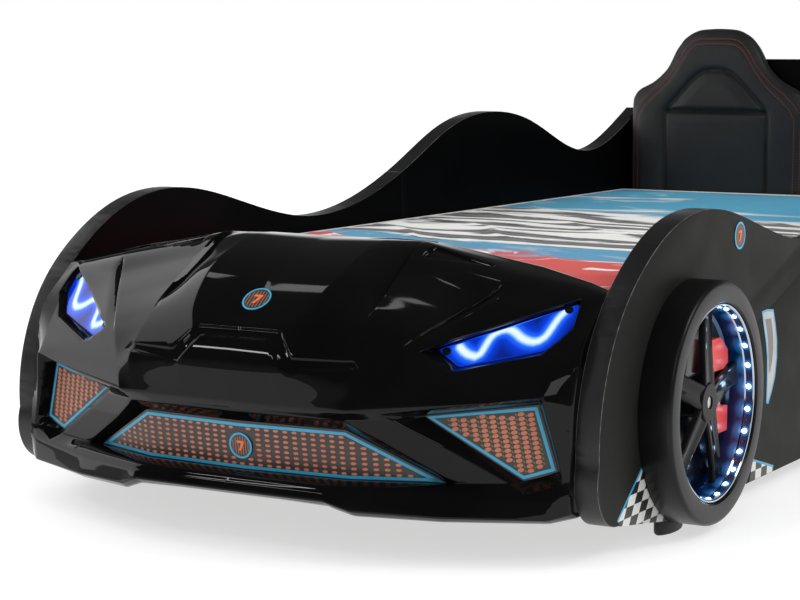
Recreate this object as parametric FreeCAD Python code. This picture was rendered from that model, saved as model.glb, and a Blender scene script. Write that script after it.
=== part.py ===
"""Children's car bed: a flat-pack bed whose sides, nose and wheels make a racing car.

The car faces -Y, +Z is up and +X is the car's own left. Sizes are in millimetres. The model is
drawn with the front edge of the side panels at Y = 0 and the floor at Z = 0, and every piece is
then shifted along Y so that the origin is the middle of the footprint, on the floor.
"""
import FreeCAD, Part
import math
import os

V = FreeCAD.Vector

# ---------------------------------------------------------------- driving dimensions
# mattress, bed well and panels
MATTRESS_WIDTH = 900.0
MATTRESS_LENGTH = 2000.0
MATTRESS_THICK = 160.0
MATTRESS_SIDE_GAP = 12.0
MATTRESS_END_GAP = 6.0
MATTRESS_EDGE_RADIUS = 38.0
PANEL_THICK = 36.0
PANEL_CLEARANCE = 25.0
PANEL_SEAM_Y = 1120.0
HEADBOARD_THICK = 30.0
HEADBOARD_WING = 30.0
FRONT_BOARD_THICK = 18.0
FRONT_BOARD_BACK_Y = 140.0
FRONT_BOARD_TOP = 440.0
FRONT_BOARD_LOW = 75.0

# slatted base
RAIL_THICK = 25.0
RAIL_HEIGHT = 60.0
SLAT_THICK = 18.0
SLAT_WIDTH = 70.0
SLAT_COUNT = 14
SLAT_END_GAP = 3.0
SLAT_TOP = 192.0
BEAM_THICK = 40.0
BEAM_HEIGHT = 60.0
BEAM_LEG_SIDE = 40.0
BEAM_LEG_COUNT = 3
STRAP_WIDTH = 20.0
STRAP_THICK = 1.6
STRAP_INSET = 130.0

# wheels
TYRE_RADIUS = 177.0
TYRE_DEPTH = 51.0
TYRE_SHOULDER = 14.0
RIM_RADIUS = 144.0
RIM_WALL = 4.0
RIM_BACK = 5.0
WHEEL_CENTRE_Z = 190.0
FRONT_WHEEL_Y = 297.0
REAR_WHEEL_TO_END = 574.0
SPOKE_COUNT = 5
SPOKE_THICK = 9.0
SPOKE_RECESS = 12.0
SPOKE_ROOT_HALF = 17.0
SPOKE_TIP_HALF = 12.0
SPOKE_FIRST_TURN = -7.0
HUB_RADIUS = 30.0
HUB_WELL_RADIUS = 17.0
HUB_WELL_DEPTH = 6.0
WHEEL_BOLT_RADIUS = 4.0
WHEEL_BOLT_HEAD = 11.0
WHEEL_BOLT_HEAD_THICK = 4.0
WHEEL_NUT_RADIUS = 9.0
WHEEL_NUT_THICK = 7.0
BOLT_CLEARANCE = 0.3
LED_COUNT = 26
LED_SIDE = 5.0
LED_HEIGHT = 1.5
LED_STRIP_THICK = 2.0
LED_STRIP_WIDTH = 9.0
CALIPER_THICK = 14.0
CALIPER_BRIDGE_THICK = 6.0

# front shell
SHELL_WALL = 4.0
SHELL_TO_PANEL = 0.4
LENS_THICK = 3.0
LENS_GAP = 0.6
HOUSING_DEPTH = 26.0
HOUSING_WALL = 2.0
LIGHT_BAR_HALF = 5.0
LIGHT_BAR_THICK = 4.0
GRILLE_THICK = 3.0
GRILLE_LAP = 7.0
FUNNEL_REACH = 60.0
GROOVE_DEPTH = 2.6
LOUVRE_DEPTH = 2.6
FUNNEL_FLARE = 30.0
NOSE_BODY_BACK = 60.0
LENS_SCREW_RADIUS = 3.0
LENS_SCREW_INSET = 26.0
LENS_SCREW_DROP = 4.0
LIGHT_BAR_START = 0.28
LIGHT_BAR_END = 0.62
WAVE_COUNT = 1.5
WAVE_HEIGHT = 9.0
WAVE_STEPS = 12
CUT_REACH = 400.0
LIGHT_CUT_OUT = 30.0
LIGHT_CUT_IN = 45.0

# headboard pads
PAD_THICK = 38.0
PAD_SIDE_GAP = 7.0
PAD_MIDDLE_GAP = 6.0
PAD_BOTTOM = 250.0
PAD_TOP_Z = 749.0
PAD_SWELL = 14.0
PAD_TAPER = 5.0
PAD_EDGE_STEPS = 27
INSERT_HALF = 126.0
INSERT_TOP_HALF = 44.0
INSERT_SEAM_Z = 545.0
INSERT_TOP_Z = 639.0
SEAM_WIDTH = 5.0
SEAM_DEPTH = 6.0
HEADBOARD_LOW = 60.0
HEADBOARD_TOP = 666.0
HEADBOARD_SIDE_Z = 530.0
HEADBOARD_CORNER = (34.0, 30.0)
HEADBOARD_TOP_INSET = 137.0

# feet, fasteners and light supply
SCREW_HEAD_RADIUS = 7.0
SCREW_HEAD_THICK = 2.5
JOINT_PLATE_THICK = 18.0
SUPPLY_BOX = (140.0, 34.0, 46.0)
SUPPLY_INLET_RADIUS = 4.0
SUPPLY_INLET_DEPTH = 9.0
SUPPLY_LOW = 62.0
SUPPLY_ROUND = 4.0
FOOT_LENGTH = 80.0
FOOT_WIDTH = 30.0
FOOT_CHAMFER = 2.0
FOOT_FROM_TOE = 45.0
FOOT_FROM_SEAM = 80.0
FOOT_FROM_END = 124.0
JOINT_PLATE_HALF = 150.0
JOINT_PLATE_Z = (35.0, 108.0)
JOINT_SCREW_SPREAD = 80.0
JOINT_SCREW_RADIUS = 3.0
JOINT_SCREW_LENGTH = 30.0

# bedding
REST_GAP = 0.3
COVERLET_THICK = 14.0
COVERLET_SIDE_GAP = 6.0
COVERLET_HEM = 6.3
COVERLET_WAVE = 4.0
COVERLET_ROUND = 40.0
COVERLET_STATIONS = 9

# ---------------------------------------------------------------- sizes that follow
WELL_HALF = MATTRESS_WIDTH / 2 + MATTRESS_SIDE_GAP
OUTER_HALF = WELL_HALF + PANEL_THICK
MATTRESS_FRONT_Y = FRONT_BOARD_BACK_Y + MATTRESS_END_GAP
MATTRESS_BACK_Y = MATTRESS_FRONT_Y + MATTRESS_LENGTH
PAD_FRONT_Y = MATTRESS_BACK_Y + MATTRESS_END_GAP + PAD_SWELL
HEAD_FACE_Y = PAD_FRONT_Y + PAD_THICK
PANEL_END_Y = HEAD_FACE_Y + HEADBOARD_THICK + HEADBOARD_WING
REAR_WHEEL_Y = PANEL_END_Y - REAR_WHEEL_TO_END
PAD_WIDTH = WELL_HALF - PAD_SIDE_GAP - PAD_MIDDLE_GAP / 2
MATTRESS_TOP = SLAT_TOP + MATTRESS_THICK
RAIL_TOP = SLAT_TOP - SLAT_THICK
NOSE_Y = -156.0
ORIGIN_Y = (NOSE_Y + PANEL_END_Y) / 2
SIDES = (("left", 1), ("right", -1))
AXLES = (("front", FRONT_WHEEL_Y), ("rear", REAR_WHEEL_Y))

# top edge of a side panel's front half, as (Y, Z): nose, fender crest and waist
PANEL_FRONT_EDGE = [
    (0.0, 140.0), (16.0, 250.0), (60.0, 328.0), (143.0, 399.0), (250.0, 448.0), (385.0, 462.0),
    (570.0, 426.0), (790.0, 386.0), (1000.0, 411.0),
]
# and of its rear half, as (share of the way from the seam to the end, Z): crest, dip, headboard
PANEL_REAR_EDGE = [
    (0.052, 474.0), (0.184, 535.0), (0.332, 559.0), (0.507, 530.0), (0.647, 475.0),
    (0.756, 457.0), (0.874, 487.0), (1.0, 548.0),
]
PANEL_TOP_EDGE = PANEL_FRONT_EDGE + [
    (PANEL_SEAM_Y + share * (PANEL_END_Y - PANEL_SEAM_Y), z) for share, z in PANEL_REAR_EDGE]
PANEL_TOE_Y = 230.0
PANEL_CHIN = (62.0, 50.0)
PANEL_CHIN_ROUND = (14.0, 70.0)

# The nose's own tables hold X for a well of this half width, and across() fits them to the bed.
DRAWN_HALF = 462.0
# Outer face of the front shell: one row per level from the rear edge over the crest and down to
# the underside of the lip, as (X, Y, Z) from the middle to the last station before the panel.
SHELL_ROWS = [
    [(0, FRONT_BOARD_BACK_Y, 419), (112, FRONT_BOARD_BACK_Y, 420), (174, FRONT_BOARD_BACK_Y, 418),
     (345, FRONT_BOARD_BACK_Y - 2, 391), (422, FRONT_BOARD_BACK_Y - 8, 373)],
    [(0, 84, 417), (112, 84, 421), (171, 84, 420), (340, 67, 384), (424, 96, 370)],
    [(0, 20, 401), (111, 20, 404), (175, 26, 388), (312, 20, 357), (432, 62, 352)],
    [(0, -34, 374), (110, -34, 379), (177, -24, 358), (283, -30, 331), (430, 10, 298)],
    [(0, -100, 325), (92, -100, 328), (177, -82, 320), (245, -84, 298), (428, -14, 268)],
    [(0, -124, 305), (76, -124, 305), (178, -108, 296), (228, -104, 281), (428, -24, 252)],
    [(0, -147, 266), (84, -147, 266), (180, -135, 258), (206, -128, 244), (428, -34, 238)],
    [(0, -148, 212), (80, -147, 212), (160, -146, 212), (190, -144, 212), (430, -37, 232)],
    [(0, -138, 198), (80, -137, 198), (140, -136, 198), (182, -132, 198), (436, -30, 196)],
    [(0, -132, 176), (80, -129, 176), (150, -124, 176), (208, -108, 166), (444, -22, 160)],
    [(0, -120, 110), (80, -119, 110), (172, -108, 110), (296, -66, 110), (446, -20, 118)],
    [(0, -152, 101), (80, -151, 101), (158, -149, 101), (300, -90, 99), (444, -30, 98)],
    [(0, NOSE_Y, 84), (80, -155, 84), (162, -153, 84), (304, -98, 78), (438, -36, 76)],
    [(0, -140, 76), (80, -139, 76), (164, -136, 74), (304, -80, 69), (434, -18, 69)],
]
# centre insert: X, then the low and high edges of its face as Y and Z
CENTRE_PLATE = [(0, -111, 103, -123, 184), (168, -99, 103, -111, 184), (302, -48, 103, -50, 116)]
# half of a pad's outline from the shoulder up: distance from its middle, then Z
PAD_SHOULDER = [(226, 552), (225, 575), (211, 598), (165, 622), (134, 651), (110, 698), (85, 728),
                (50, 746)]
# the same levels where the shell meets the inner face of a side panel, as (Y, Z)
SHELL_SIDE = [
    (118, 363), (91, 361), (66, 342), (23, 307), (8, 276), (4, 262), (0, 240),
    (-3, 222), (-7, 190), (-12, 160), (-16, 120), (-18, 104), (-14, 86), (8, 74),
]
HEADLIGHT = [(267, -58, 290), (309, -56, 265), (412, -6, 288), (440, 34, 320), (436, 75, 358)]
SIDE_GRILLE = [(267, -64.8, 201), (412, -12.3, 220), (437, -3.2, 131), (394, -18.8, 117)]
CENTRE_GRILLE = [(294, 109), (168, 178)]
# half of the groove across the bonnet, its upper and lower edge, as (X, Z)
GROOVE_UPPER = [(69, 309), (99, 276), (190, 276)]
GROOVE_LOWER = [(196, 268), (88, 263), (60, 300)]
# the triangular louvre near the bonnet's rear corner, as (X, Y)
LOUVRE = [(194, 61), (297, 78), (200, 90)]
# the two stub calipers behind the spokes and the bridge between them, as (Y, Z) from the hub
CALIPER_UPPER = [(31, 36), (90, 36), (107, 44), (105, 64), (78, 84), (40, 84)]
CALIPER_LOWER = [(34, -3), (70, -3), (82, -18), (107, -20), (107, -58), (48, -58)]
CALIPER_BRIDGE = [(50, -10), (72, -10), (76, 50), (54, 50)]
# how far back a pad's levels lie, as a share of its thickness, and how far each is drawn in
PAD_LEVELS = [(0.0, 4.0), (0.3, 0.0), (0.62, 2.0), (0.84, 9.0), (0.94, 20.0), (1.0, 42.0)]

os.makedirs("parts", exist_ok=True)


def save(name, shape):
    """Write one piece, moved so that the origin is the middle of the footprint."""
    piece = shape.copy()
    piece.translate(V(0, -ORIGIN_Y, 0))
    piece.exportStep("parts/" + name + ".step")


def mirror_x(shape):
    """The same piece on the other side of the bed."""
    return shape.mirror(V(0, 0, 0), V(1, 0, 0))


def on_side(shape, sign):
    """A piece drawn for the left side, put on the side that sign names."""
    return shape if sign > 0 else mirror_x(shape)


def box(x0, x1, y0, y1, z0, z1):
    """A block between two corners."""
    return Part.makeBox(x1 - x0, y1 - y0, z1 - z0, V(x0, y0, z0))


def prism(points, direction):
    """A closed outline of points, pulled along a direction."""
    wire = Part.makePolygon([V(*p) for p in points] + [V(*points[0])])
    return Part.Face(wire).extrude(V(*direction))


def across(x):
    """An X of the nose's tables, fitted to the width of the bed."""
    return x * WELL_HALF / DRAWN_HALF


def both_halves(points):
    """An outline whose other half mirrors the given points, which start at the middle or the side."""
    return points + [(-x, z) for x, z in points[::-1]]


def rod_x(radius, x0, x1, y, z):
    """A round bar along X."""
    return Part.makeCylinder(radius, x1 - x0, V(x0, y, z), V(1, 0, 0))


def rod_y(radius, x, y0, y1, z):
    """A round bar along Y."""
    return Part.makeCylinder(radius, y1 - y0, V(x, y0, z), V(0, 1, 0))


# ---------------------------------------------------------------- side panels
def panel_outline():
    """The face of a whole side panel, in the plane of its inner side."""
    top = Part.BSplineCurve()
    top.interpolate([V(WELL_HALF, y, z) for y, z in PANEL_TOP_EDGE])
    nose = V(WELL_HALF, *PANEL_TOP_EDGE[0])
    end_top = V(WELL_HALF, *PANEL_TOP_EDGE[-1])
    end_low = V(WELL_HALF, PANEL_END_Y, PANEL_CLEARANCE)
    toe = V(WELL_HALF, PANEL_TOE_Y, PANEL_CLEARANCE)
    chin = V(WELL_HALF, *PANEL_CHIN)
    chin_round = V(WELL_HALF, *PANEL_CHIN_ROUND)
    edges = [
        top.toShape(),
        Part.LineSegment(end_top, end_low).toShape(),
        Part.LineSegment(end_low, toe).toShape(),
        Part.LineSegment(toe, chin).toShape(),
        Part.Arc(chin, chin_round, nose).toShape(),
    ]
    return Part.Face(Part.Wire(Part.__sortEdges__(edges)))


def side_panels():
    """Both halves of the left side panel, cut at the seam and drilled for the wheel bolts."""
    whole = panel_outline().extrude(V(PANEL_THICK, 0, 0))
    for _, wheel_y in AXLES:
        hole = rod_x(WHEEL_BOLT_RADIUS + BOLT_CLEARANCE, WELL_HALF - 1, OUTER_HALF + 1,
                     wheel_y, WHEEL_CENTRE_Z)
        nut_well = rod_x(WHEEL_NUT_RADIUS + BOLT_CLEARANCE, WELL_HALF - 1,
                         WELL_HALF + WHEEL_NUT_THICK, wheel_y, WHEEL_CENTRE_Z)
        whole = whole.cut(hole).cut(nut_well)
    size = whole.BoundBox
    front = whole.common(box(size.XMin, size.XMax, size.YMin, PANEL_SEAM_Y, size.ZMin, size.ZMax))
    rear = whole.common(box(size.XMin, size.XMax, PANEL_SEAM_Y, size.YMax, size.ZMin, size.ZMax))
    return front, rear


# ---------------------------------------------------------------- wheels
def tyre(centre_y):
    """A moulded tyre ring that stands proud of the panel, with an eased outer shoulder."""
    x0 = OUTER_HALF
    x1 = OUTER_HALF + TYRE_DEPTH
    shoulder_x = x1 - TYRE_SHOULDER
    shoulder_radius = TYRE_RADIUS - TYRE_SHOULDER
    diagonal = TYRE_SHOULDER * math.sqrt(0.5)
    outline = [(x0, RIM_RADIUS), (x0, TYRE_RADIUS), (shoulder_x, TYRE_RADIUS),
               (shoulder_x + diagonal, shoulder_radius + diagonal), (x1, shoulder_radius),
               (x1, RIM_RADIUS + RIM_WALL), (x1 - RIM_WALL, RIM_RADIUS)]
    wire = Part.makePolygon([V(x, radius, 0) for x, radius in outline + outline[:1]])
    ring = Part.Face(wire).revolve(V(0, 0, 0), V(1, 0, 0), 360)
    ring.translate(V(0, centre_y, WHEEL_CENTRE_Z))
    return ring


def rim_barrel(centre_y):
    """The bright cup inside the tyre: a wall and a back with a hole for the bolt."""
    x0 = OUTER_HALF
    x1 = OUTER_HALF + TYRE_DEPTH - RIM_WALL
    cup = rod_x(RIM_RADIUS, x0, x1, centre_y, WHEEL_CENTRE_Z)
    hollow = rod_x(RIM_RADIUS - RIM_WALL, x0 + RIM_BACK, x1 + 1, centre_y, WHEEL_CENTRE_Z)
    hole = rod_x(WHEEL_BOLT_RADIUS + BOLT_CLEARANCE, x0 - 1, x1, centre_y, WHEEL_CENTRE_Z)
    return cup.cut(hollow).cut(hole)


def spoke_disc(centre_y):
    """The five-spoke face with its hub, which stands on a boss on the back of the cup."""
    x1 = OUTER_HALF + TYRE_DEPTH - RIM_WALL - SPOKE_RECESS
    x0 = x1 - SPOKE_THICK
    reach = RIM_RADIUS - RIM_WALL
    star = rod_x(HUB_RADIUS, OUTER_HALF + RIM_BACK, x1, 0, 0)
    for number in range(SPOKE_COUNT):
        spoke = prism([(x0, -SPOKE_ROOT_HALF, 0), (x0, SPOKE_ROOT_HALF, 0),
                       (x0, SPOKE_TIP_HALF, reach + 5), (x0, -SPOKE_TIP_HALF, reach + 5)],
                      (SPOKE_THICK, 0, 0))
        spoke.rotate(V(0, 0, 0), V(1, 0, 0), SPOKE_FIRST_TURN + 360.0 * number / SPOKE_COUNT)
        star = star.fuse(spoke)
    star = star.common(rod_x(reach, OUTER_HALF, x1 + 1, 0, 0))
    well = rod_x(HUB_WELL_RADIUS, x1 - HUB_WELL_DEPTH, x1 + 1, 0, 0)
    hole = rod_x(WHEEL_BOLT_RADIUS + BOLT_CLEARANCE, OUTER_HALF, x1 + 1, 0, 0)
    star = star.cut(well).cut(hole).removeSplitter()
    star.translate(V(0, centre_y, WHEEL_CENTRE_Z))
    return star


def brake_caliper(centre_y):
    """Two stub calipers joined by a low bridge, seated on the back of the cup behind the spokes."""
    caliper = prism([(0, y, z) for y, z in CALIPER_BRIDGE], (CALIPER_BRIDGE_THICK, 0, 0))
    for block in (CALIPER_UPPER, CALIPER_LOWER):
        caliper = caliper.fuse(prism([(0, y, z) for y, z in block], (CALIPER_THICK, 0, 0)))
    caliper.translate(V(OUTER_HALF + RIM_BACK, centre_y, WHEEL_CENTRE_Z))
    return caliper


def polygon_disc(radius, corners, x0, x1):
    """A flat-sided disc about the X axis, with its corners on the radius."""
    points = []
    for number in range(corners):
        turn = 2 * math.pi * number / corners
        points.append((x0, radius * math.cos(turn), radius * math.sin(turn)))
    return prism(points, (x1 - x0, 0, 0))


def led_ring(centre_y):
    """The light strip round the mouth of the cup, flat at each of its lamps."""
    radius = RIM_RADIUS - RIM_WALL - REST_GAP
    x1 = OUTER_HALF + TYRE_DEPTH - RIM_WALL - LED_STRIP_THICK
    x0 = x1 - LED_STRIP_WIDTH
    ring = polygon_disc(radius, LED_COUNT, x0, x1)
    ring = ring.cut(polygon_disc(radius - LED_STRIP_THICK, LED_COUNT, x0, x1))
    flat = (radius - LED_STRIP_THICK) * math.cos(math.pi / LED_COUNT)
    middle = (x0 + x1) / 2
    for number in range(LED_COUNT):
        lamp = box(middle - LED_SIDE / 2, middle + LED_SIDE / 2, flat - LED_HEIGHT, flat + LED_HEIGHT / 2,
                   -LED_SIDE / 2, LED_SIDE / 2)
        lamp.rotate(V(0, 0, 0), V(1, 0, 0), 360.0 * (number + 0.5) / LED_COUNT)
        ring = ring.fuse(lamp)
    ring.translate(V(0, centre_y, WHEEL_CENTRE_Z))
    return ring


def wheel_bolt(centre_y):
    """The bright bolt that holds the wheel on the panel, with its head in the hub's well."""
    seat = OUTER_HALF + TYRE_DEPTH - RIM_WALL - SPOKE_RECESS - HUB_WELL_DEPTH
    shank = rod_x(WHEEL_BOLT_RADIUS, WELL_HALF, seat, centre_y, WHEEL_CENTRE_Z)
    head = rod_x(WHEEL_BOLT_HEAD, seat, seat + WHEEL_BOLT_HEAD_THICK, centre_y, WHEEL_CENTRE_Z)
    nut = polygon_disc(WHEEL_NUT_RADIUS, 6, WELL_HALF, WELL_HALF + WHEEL_NUT_THICK)
    nut.translate(V(0, centre_y, WHEEL_CENTRE_Z))
    return shank.fuse(head).fuse(nut).removeSplitter()


# ---------------------------------------------------------------- front shell
def inner_profile(points, depth):
    """The points of a (Y, Z) profile moved inwards by depth."""
    inner = []
    for index, (y, z) in enumerate(points):
        before = points[max(index - 1, 0)]
        after = points[min(index + 1, len(points) - 1)]
        a = V(0, y - before[0], z - before[1])
        b = V(0, after[0] - y, after[1] - z)
        if a.Length < 1e-6:
            a = b
        if b.Length < 1e-6:
            b = a
        a.normalize()
        b.normalize()
        mean = a + b
        mean.normalize()
        normal = V(0, -mean.z, mean.y)
        spread = max(mean.dot(a), 0.6)
        inner.append((y + normal.y * depth / spread, z + normal.z * depth / spread))
    return inner


def shell_station(column, sign):
    """The closed band of one station, from its outer (X, Y, Z) points."""
    outer = [V(sign * x, y, z) for x, y, z in column]
    moved = inner_profile([(y, z) for _, y, z in column], SHELL_WALL)
    inner = [V(sign * column[i][0], y, z) for i, (y, z) in enumerate(moved)]
    loop = outer + inner[::-1]
    return Part.makePolygon(loop + [loop[0]])


def shell_columns():
    """The stations of the shell from the middle to the panel."""
    count = len(SHELL_ROWS[0])
    columns = [[(across(row[i][0]),) + row[i][1:] for row in SHELL_ROWS] for i in range(count)]
    side = WELL_HALF - SHELL_TO_PANEL
    columns.append([(side, y, z) for y, z in SHELL_SIDE])
    return columns


def flat_outline(places, grow, lift):
    """Corners laid on the plane of the first, third and last, grown from their middle and lifted.

    Returns the corners and the plane's outward normal."""
    spots = [V(across(x), y, z) for x, y, z in places]
    normal = (spots[2] - spots[0]).cross(spots[-1] - spots[0])
    normal.normalize()
    if normal.y > 0:
        normal = normal * -1
    corners = [p - normal * (p - spots[0]).dot(normal) for p in spots]
    middle = V(0, 0, 0)
    for p in corners:
        middle = middle + p * (1.0 / len(corners))
    placed = []
    for p in corners:
        away = p - middle
        placed.append(p + away * (grow / away.Length) + normal * lift)
    return placed, normal


def slab(corners, direction):
    """A flat outline in space, pulled along a direction."""
    face = Part.Face(Part.makePolygon(corners + [corners[0]]))
    return face.extrude(direction)


def front_shell():
    """The vacuum-formed nose: bonnet, fenders, grille surrounds and lip in one thin moulding."""
    columns = shell_columns()
    wires = [shell_station(c, -1) for c in columns[:0:-1]]
    wires += [shell_station(c, 1) for c in columns]
    shell = Part.makeLoft(wires, True, True)
    corners, normal = flat_outline(HEADLIGHT, 0.0, LIGHT_CUT_OUT)
    light_hole = slab(corners, normal * -(LIGHT_CUT_OUT + LIGHT_CUT_IN))
    recess = funnel(0.0, -1.0)
    wall = funnel(SHELL_WALL, 0.0).cut(recess)
    wall = wall.common(nose_body(0.0))
    louvre = prism([(across(x), y, 0) for x, y in LOUVRE], (0, 0, CUT_REACH * 2))
    louvre = louvre.cut(nose_body(LOUVRE_DEPTH))
    for _, sign in SIDES:
        for cut in (light_hole, recess, louvre):
            shell = shell.cut(on_side(cut, sign))
        shell = shell.fuse(on_side(wall, sign))
    band = GROOVE_UPPER + GROOVE_LOWER
    band = band + [(-x, z) for x, z in band[::-1]]
    groove = prism([(across(x), -CUT_REACH, z) for x, z in band], (0, CUT_REACH * 2, 0))
    shell = shell.cut(groove.cut(nose_body(GROOVE_DEPTH)))
    mouth = [(across(x), -CUT_REACH, z) for x, z in both_halves(CENTRE_GRILLE)]
    return shell.cut(prism(mouth, (0, CUT_REACH * 2, 0)))


def side_grille_plate():
    """The flat insert behind the opening beside the lip."""
    corners, outward = flat_outline(SIDE_GRILLE, GRILLE_LAP, 0.0)
    return slab(corners, outward * -GRILLE_THICK)


def funnel(grow, lift):
    """The tapered space or wall round a side grille, wider towards the front."""
    low, _ = flat_outline(SIDE_GRILLE, grow, lift)
    high, _ = flat_outline(SIDE_GRILLE, grow + FUNNEL_FLARE, FUNNEL_REACH)
    wires = [Part.makePolygon(low + [low[0]]), Part.makePolygon(high + [high[0]])]
    return Part.makeLoft(wires, True, True)


def headlight_lens():
    """The printed lens, set just behind the face of the shell."""
    corners, normal = flat_outline(HEADLIGHT, -LENS_GAP * 2, -SHELL_WALL)
    return slab(corners, normal * -LENS_THICK)


def headlight_housing():
    """The tray behind the lens."""
    behind = -SHELL_WALL - LENS_THICK
    corners, normal = flat_outline(HEADLIGHT, -LENS_GAP * 2, behind)
    tray = slab(corners, normal * -HOUSING_DEPTH)
    hollow_corners, _ = flat_outline(HEADLIGHT, -LENS_GAP * 2 - HOUSING_WALL * 3, behind)
    return tray.cut(slab(hollow_corners, normal * -(HOUSING_DEPTH - HOUSING_WALL)))


def light_bar():
    """The wavy light strip inside the housing, cut from sheet."""
    depth = -SHELL_WALL - LENS_THICK - HOUSING_DEPTH / 2
    corners, normal = flat_outline(HEADLIGHT, 0.0, depth)
    start = corners[0] + (corners[2] - corners[0]) * LIGHT_BAR_START
    end = corners[2] + (corners[4] - corners[2]) * LIGHT_BAR_END
    along = end - start
    across = along.cross(normal)
    across.normalize()
    upper = []
    lower = []
    for step in range(WAVE_STEPS + 1):
        share = step / WAVE_STEPS
        wave = math.sin(share * WAVE_COUNT * 2 * math.pi) * WAVE_HEIGHT
        middle = start + along * share + across * wave
        upper.append(middle + across * LIGHT_BAR_HALF)
        lower.append(middle - across * LIGHT_BAR_HALF)
    return slab(upper + lower[::-1], normal * LIGHT_BAR_THICK)


def lens_screws():
    """Two screws that hold each lens."""
    corners, normal = flat_outline(HEADLIGHT, 0.0, -SHELL_WALL)
    screws = []
    middle = (corners[1] + corners[3]) * 0.5
    for corner in (corners[0], corners[4]):
        inward = middle - corner
        inward.normalize()
        seat = corner + inward * LENS_SCREW_INSET
        screws.append(Part.makeCylinder(LENS_SCREW_RADIUS * 2, SCREW_HEAD_THICK, seat, normal))
    return screws


def nose_body(depth):
    """The whole space that lies at least depth behind the outer face of the shell."""
    columns = shell_columns()
    wires = []
    for column, sign in [(c, -1) for c in columns[:0:-1]] + [(c, 1) for c in columns]:
        profile = [(y, z) for _, y, z in column]
        if depth > 0:
            profile = inner_profile(profile, depth)
        places = [(column[i][0], y, z) for i, (y, z) in enumerate(profile)]
        back = FRONT_BOARD_BACK_Y + NOSE_BODY_BACK
        places.insert(0, (column[0][0], back, profile[0][1]))
        places.append((column[-1][0], back, profile[-1][1]))
        points = [V(sign * x, y, z) for x, y, z in places]
        wires.append(Part.makePolygon(points + [points[0]]))
    return Part.makeLoft(wires, True, True)


def centre_grille_plate():
    """The centre insert: a flat middle and two wings that turn back along the nose."""
    wires = []
    stations = [(-s[0],) + s[1:] for s in CENTRE_PLATE[:0:-1]] + CENTRE_PLATE
    for drawn_x, y_low, z_low, y_high, z_high in stations:
        x = across(drawn_x)
        points = [V(x, y_low, z_low), V(x, y_high, z_high),
                  V(x, y_high + GRILLE_THICK, z_high), V(x, y_low + GRILLE_THICK, z_low)]
        wires.append(Part.makePolygon(points + [points[0]]))
    return Part.makeLoft(wires, True, True)


# ---------------------------------------------------------------- headboard
def headboard_panel():
    """The board that carries the seat pads, with a raised middle that shows between them."""
    corner_in, corner_up = HEADBOARD_CORNER
    right = [(WELL_HALF, HEADBOARD_LOW), (WELL_HALF, HEADBOARD_SIDE_Z),
             (WELL_HALF - corner_in, HEADBOARD_SIDE_Z + corner_up),
             (WELL_HALF - HEADBOARD_TOP_INSET, HEADBOARD_TOP)]
    return prism([(x, HEAD_FACE_Y, z) for x, z in both_halves(right)], (0, HEADBOARD_THICK, 0))


def pad_outline(y, shrink):
    """The outline of a seat pad about X = 0, drawn in by shrink all round."""
    half = PAD_WIDTH / 2
    side = [V((half + dx - PAD_SHOULDER[0][0]) * (half - shrink) / half, y, z - shrink / 2)
            for dx, z in PAD_SHOULDER]
    edge = Part.BSplineCurve()
    edge.interpolate(side + [V(0, y, PAD_TOP_Z - shrink)] + [V(-p.x, y, p.z) for p in side[::-1]])
    low = PAD_BOTTOM + shrink
    points = edge.toShape().discretize(PAD_EDGE_STEPS)
    points += [V(-half + PAD_TAPER + shrink, y, low), V(half - PAD_TAPER - shrink, y, low)]
    return Part.makePolygon(points + [points[0]])


def insert_outline(grow):
    """The raised centre of a pad: straight sides with a blunt peak, grown by grow."""
    half = INSERT_HALF + grow
    top_half = INSERT_TOP_HALF + grow
    top = INSERT_TOP_Z + grow
    low = PAD_BOTTOM - SEAM_WIDTH
    return both_halves([(half, low), (half, INSERT_SEAM_Z), (top_half, top)])


def seat_pad(centre_x):
    """A padded seat back: crowned edges, a sewn centre and a cross seam."""
    front = PAD_FRONT_Y
    levels = [pad_outline(HEAD_FACE_Y - PAD_THICK * share, shrink) for share, shrink in PAD_LEVELS]
    pad = Part.makeLoft(levels, True, True)
    outer = prism([(x, front - 1, z) for x, z in insert_outline(SEAM_WIDTH)], (0, SEAM_DEPTH + 1, 0))
    inner = prism([(x, front - 2, z) for x, z in insert_outline(0.0)], (0, SEAM_DEPTH + 4, 0))
    pad = pad.cut(outer.cut(inner))
    cross = box(-INSERT_HALF, INSERT_HALF, front - 1, front + SEAM_DEPTH,
                INSERT_SEAM_Z - SEAM_WIDTH, INSERT_SEAM_Z)
    pad = pad.cut(cross)
    pad.translate(V(centre_x, 0, 0))
    return pad


# ---------------------------------------------------------------- base, feet and fasteners
def slats():
    """The slats, side by side across the rails."""
    first = MATTRESS_FRONT_Y + SLAT_END_GAP + SLAT_WIDTH / 2
    last = MATTRESS_BACK_Y - SLAT_END_GAP - SLAT_WIDTH / 2
    boards = []
    for number in range(SLAT_COUNT):
        y = first + (last - first) * number / (SLAT_COUNT - 1)
        boards.append(box(-WELL_HALF + SLAT_END_GAP, WELL_HALF - SLAT_END_GAP,
                          y - SLAT_WIDTH / 2, y + SLAT_WIDTH / 2, RAIL_TOP, SLAT_TOP))
    return boards


def slat_straps():
    """The two webbing straps under the slats that keep their spacing."""
    straps = []
    for sign in (1, -1):
        x = sign * (WELL_HALF - STRAP_INSET)
        straps.append(box(x - STRAP_WIDTH / 2, x + STRAP_WIDTH / 2, MATTRESS_FRONT_Y + SLAT_END_GAP,
                          MATTRESS_BACK_Y - SLAT_END_GAP, RAIL_TOP - STRAP_THICK, RAIL_TOP))
    return straps


def centre_beam():
    """The lengthwise beam under the slats."""
    return box(-BEAM_THICK / 2, BEAM_THICK / 2, FRONT_BOARD_BACK_Y, HEAD_FACE_Y,
               RAIL_TOP - BEAM_HEIGHT, RAIL_TOP)


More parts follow.
